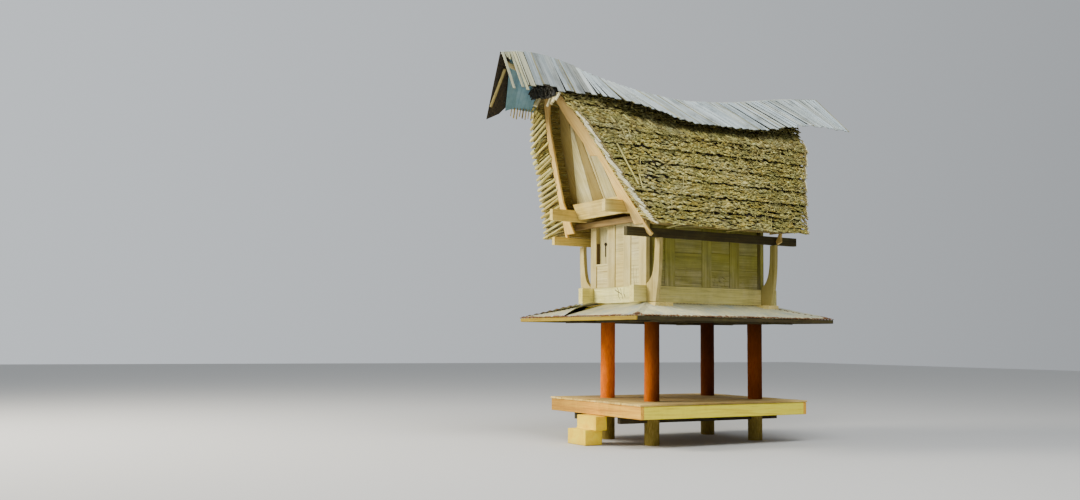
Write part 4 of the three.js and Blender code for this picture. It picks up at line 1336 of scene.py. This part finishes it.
def add_hip_cover(piece, corner, ahead, rusty):
    """Crumpled strip bent over a hip, rusty at its foot or all along."""
    sideways = ahead.cross(Z).normalized()
    up = sideways.cross(ahead).normalized()
    stations = []
    for k in range(HIP_STEPS + 1):
        share = 0.1 + 0.89 * k / HIP_STEPS
        crumple = 0.006 * noise.noise(Vector((share * 14, math.copysign(3, corner.x), corner.y)))
        stations.append((corner + ahead * share + up * (0.001 + crumple), sideways * (1 + 12 * crumple), up))
    first = len(piece.points)
    piece.sweep(stations, HIP_SECTION, (0.5, 1.0))
    for i in range(first, len(piece.points)):
        piece.shades[i] = (0.5, 1.0 if rusty else clipped(1 - (i - first) / len(HIP_SECTION) / RUSTY_STEPS))


def add_gap(gold, dark):
    """Batten painted dark as the shade under the front sheet that has sprung up, and the tan edge of the
    sheet beside it.
    """
    gap = Piece("canopy_gap")
    gap.plank(*map(Vector, GAP_ENDS), 0.72, 0.004, Z, (0.0, 1.0))
    gap.make("dark_beam", dark)
    edge = Piece("canopy_sheet_edge")
    edge.plank(*map(Vector, TAN_ENDS), 0.03, 0.008, Z, (0.6, 0.8))
    edge.make("zinc_sheet", gold)


def add_fascia(gold, dark):
    """Fascia boards round the skirt roof and the rails that clasp the posts."""
    low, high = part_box("canopy_frame")
    near, far = low.y + FASCIA_BOARD, high.y - FASCIA_BOARD
    left, right = low.x + FASCIA_BOARD, high.x - FASCIA_BOARD
    front = Piece("canopy_front_fascia")
    front.box((low.x, low.y, FASCIA_LOW), (high.x, near, high.z), "X", (0.0, 1.0))
    front.make("dark_beam", gold)
    rest = Piece("canopy_rails")
    rest.box((low.x, far, FASCIA_LOW), high, "X", (0.5, 0.8))
    for x in (low.x, right):
        rest.box((x, near, FASCIA_LOW), (x + FASCIA_BOARD, far, high.z), "Y", (0.8, 0.9))
    post_low, post_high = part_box("post_front_right")
    for x in (-post_high.x - RAIL_WIDTH, post_high.x):
        rest.box((x, near, low.z), (x + RAIL_WIDTH, far, RAIL_TOP), "Y", (0.5, 0.5))
    for y in (post_low.y - RAIL_WIDTH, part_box("post_rear_right")[1].y):
        rest.box((left, y, low.z), (right, y + RAIL_WIDTH, RAIL_TOP), "X", (0.5, 0.5))
    rest.make("dark_beam", dark, "canopy_frame")


add_camera()
add_studio()

# Each wood: its dark, middle and light colour, and how much it is bleached, mossy and stained
PALE = wood("pale_wood", (0.34, 0.26, 0.09), (0.62, 0.54, 0.24), (0.82, 0.76, 0.4), 0.3, 0.0, 0.3)
# Olive and mossy, and darker than the pale wood as painted shade of the walls under the eaves
SHADED_OLIVE = wood("shaded_olive_wood", (0.15, 0.14, 0.01), (0.37, 0.35, 0.04), (0.56, 0.54, 0.11), 0.1, 0.35, 0.3,
             cool=(1.3, 1.2, 2.8))
# Pale sill wood, brighter than the pale wood partly as painted light thrown up from the zinc roof
SILL = wood("sill_wood", (0.42, 0.36, 0.12), (0.84, 0.78, 0.3), (0.98, 0.93, 0.5), 0.2, 0.1, 0.25)
BEAM = wood("beam_wood", (0.36, 0.24, 0.06), (0.74, 0.58, 0.17), (0.9, 0.78, 0.3), 0.2, 0.0, 0.3)
TAN = wood("tan_wood", (0.42, 0.17, 0.02), (0.88, 0.45, 0.04), (1.0, 0.62, 0.07), 0.0, 0.0, 0.3)
BARGE = wood("barge_wood", (0.46, 0.26, 0.06), (0.9, 0.63, 0.2), (1.0, 0.8, 0.3), 0.15, 0.0, 0.3)
GOLD = wood("gold_wood", (0.6, 0.42, 0.03), (1.0, 0.84, 0.05), (1.0, 0.97, 0.1), 0.0, 0.0, 0.15)
DECK = wood("deck_wood", (0.34, 0.21, 0.05), (0.9, 0.62, 0.16), (1.0, 0.82, 0.3), 0.2, 0.0, 0.35)
ROUGH = wood("rough_wood", (0.1, 0.06, 0.02), (0.24, 0.16, 0.05), (0.4, 0.29, 0.1), 0.1, 0.1, 0.4)
DARK = wood("dark_wood", (0.014, 0.01, 0.001), (0.05, 0.038, 0.004), (0.11, 0.088, 0.014), 0.0, 0.2, 0.3)
GREY = wood("grey_boards", (0.15, 0.18, 0.19), (0.5, 0.57, 0.6), (0.8, 0.85, 0.86), 0.15, 0.0, 0.6)
CANES = wood("cane_wood", (0.11, 0.09, 0.02), (0.52, 0.47, 0.14), (0.95, 0.9, 0.4), 0.2, 0.55, 0.5,
             depth=0.006)
LATHS = wood("lath_wood", (0.32, 0.28, 0.15), (0.66, 0.62, 0.4), (0.9, 0.88, 0.66), 0.3, 0.1, 0.3)
CULMS = wood("bar_wood", (0.26, 0.2, 0.04), (0.62, 0.55, 0.17), (0.88, 0.84, 0.4), 0.2, 0.3, 0.3)
CHAR = wood("charred_canes", (0.008, 0.008, 0.008), (0.032, 0.034, 0.032), (0.09, 0.09, 0.08), 0.05, 0.05,
            0.3)
CORE = thatch_core()
ZINC = zinc("zinc", (0.4, 0.46, 0.43), (0.6, 0.58, 0.36), (0.78, 0.74, 0.44))
BLUE_ZINC = zinc("blue_zinc", (0.14, 0.3, 0.42), (0.22, 0.43, 0.57), (0.33, 0.55, 0.66), rust_share=0.0)

add_posts(palm_trunk())
add_platform(TAN, GOLD, DARK)
add_deck(DECK)
timber("entry_steps", Z, "yellow_concrete", limewash(), chamfer=0.012, dent=0.008, pitch=0.08)
add_walls(PALE, SHADED_OLIVE)
add_store_timbers(PALE, SILL, BEAM, ROUGH, DARK)
add_hatch(PALE, ROUGH, DARK)
add_cracks(DARK)
add_gables(PALE, BARGE)
add_thatch(CANES, CULMS, LATHS, CORE)
add_ridge_cap(GREY, CORE)
add_ridge_pole(GREY)
add_front_sheet(BLUE_ZINC)
add_front_poles(LATHS)
add_charred_canes(CHAR)
add_canopy(ZINC)
add_gap(GOLD, DARK)
add_fascia(GOLD, DARK)
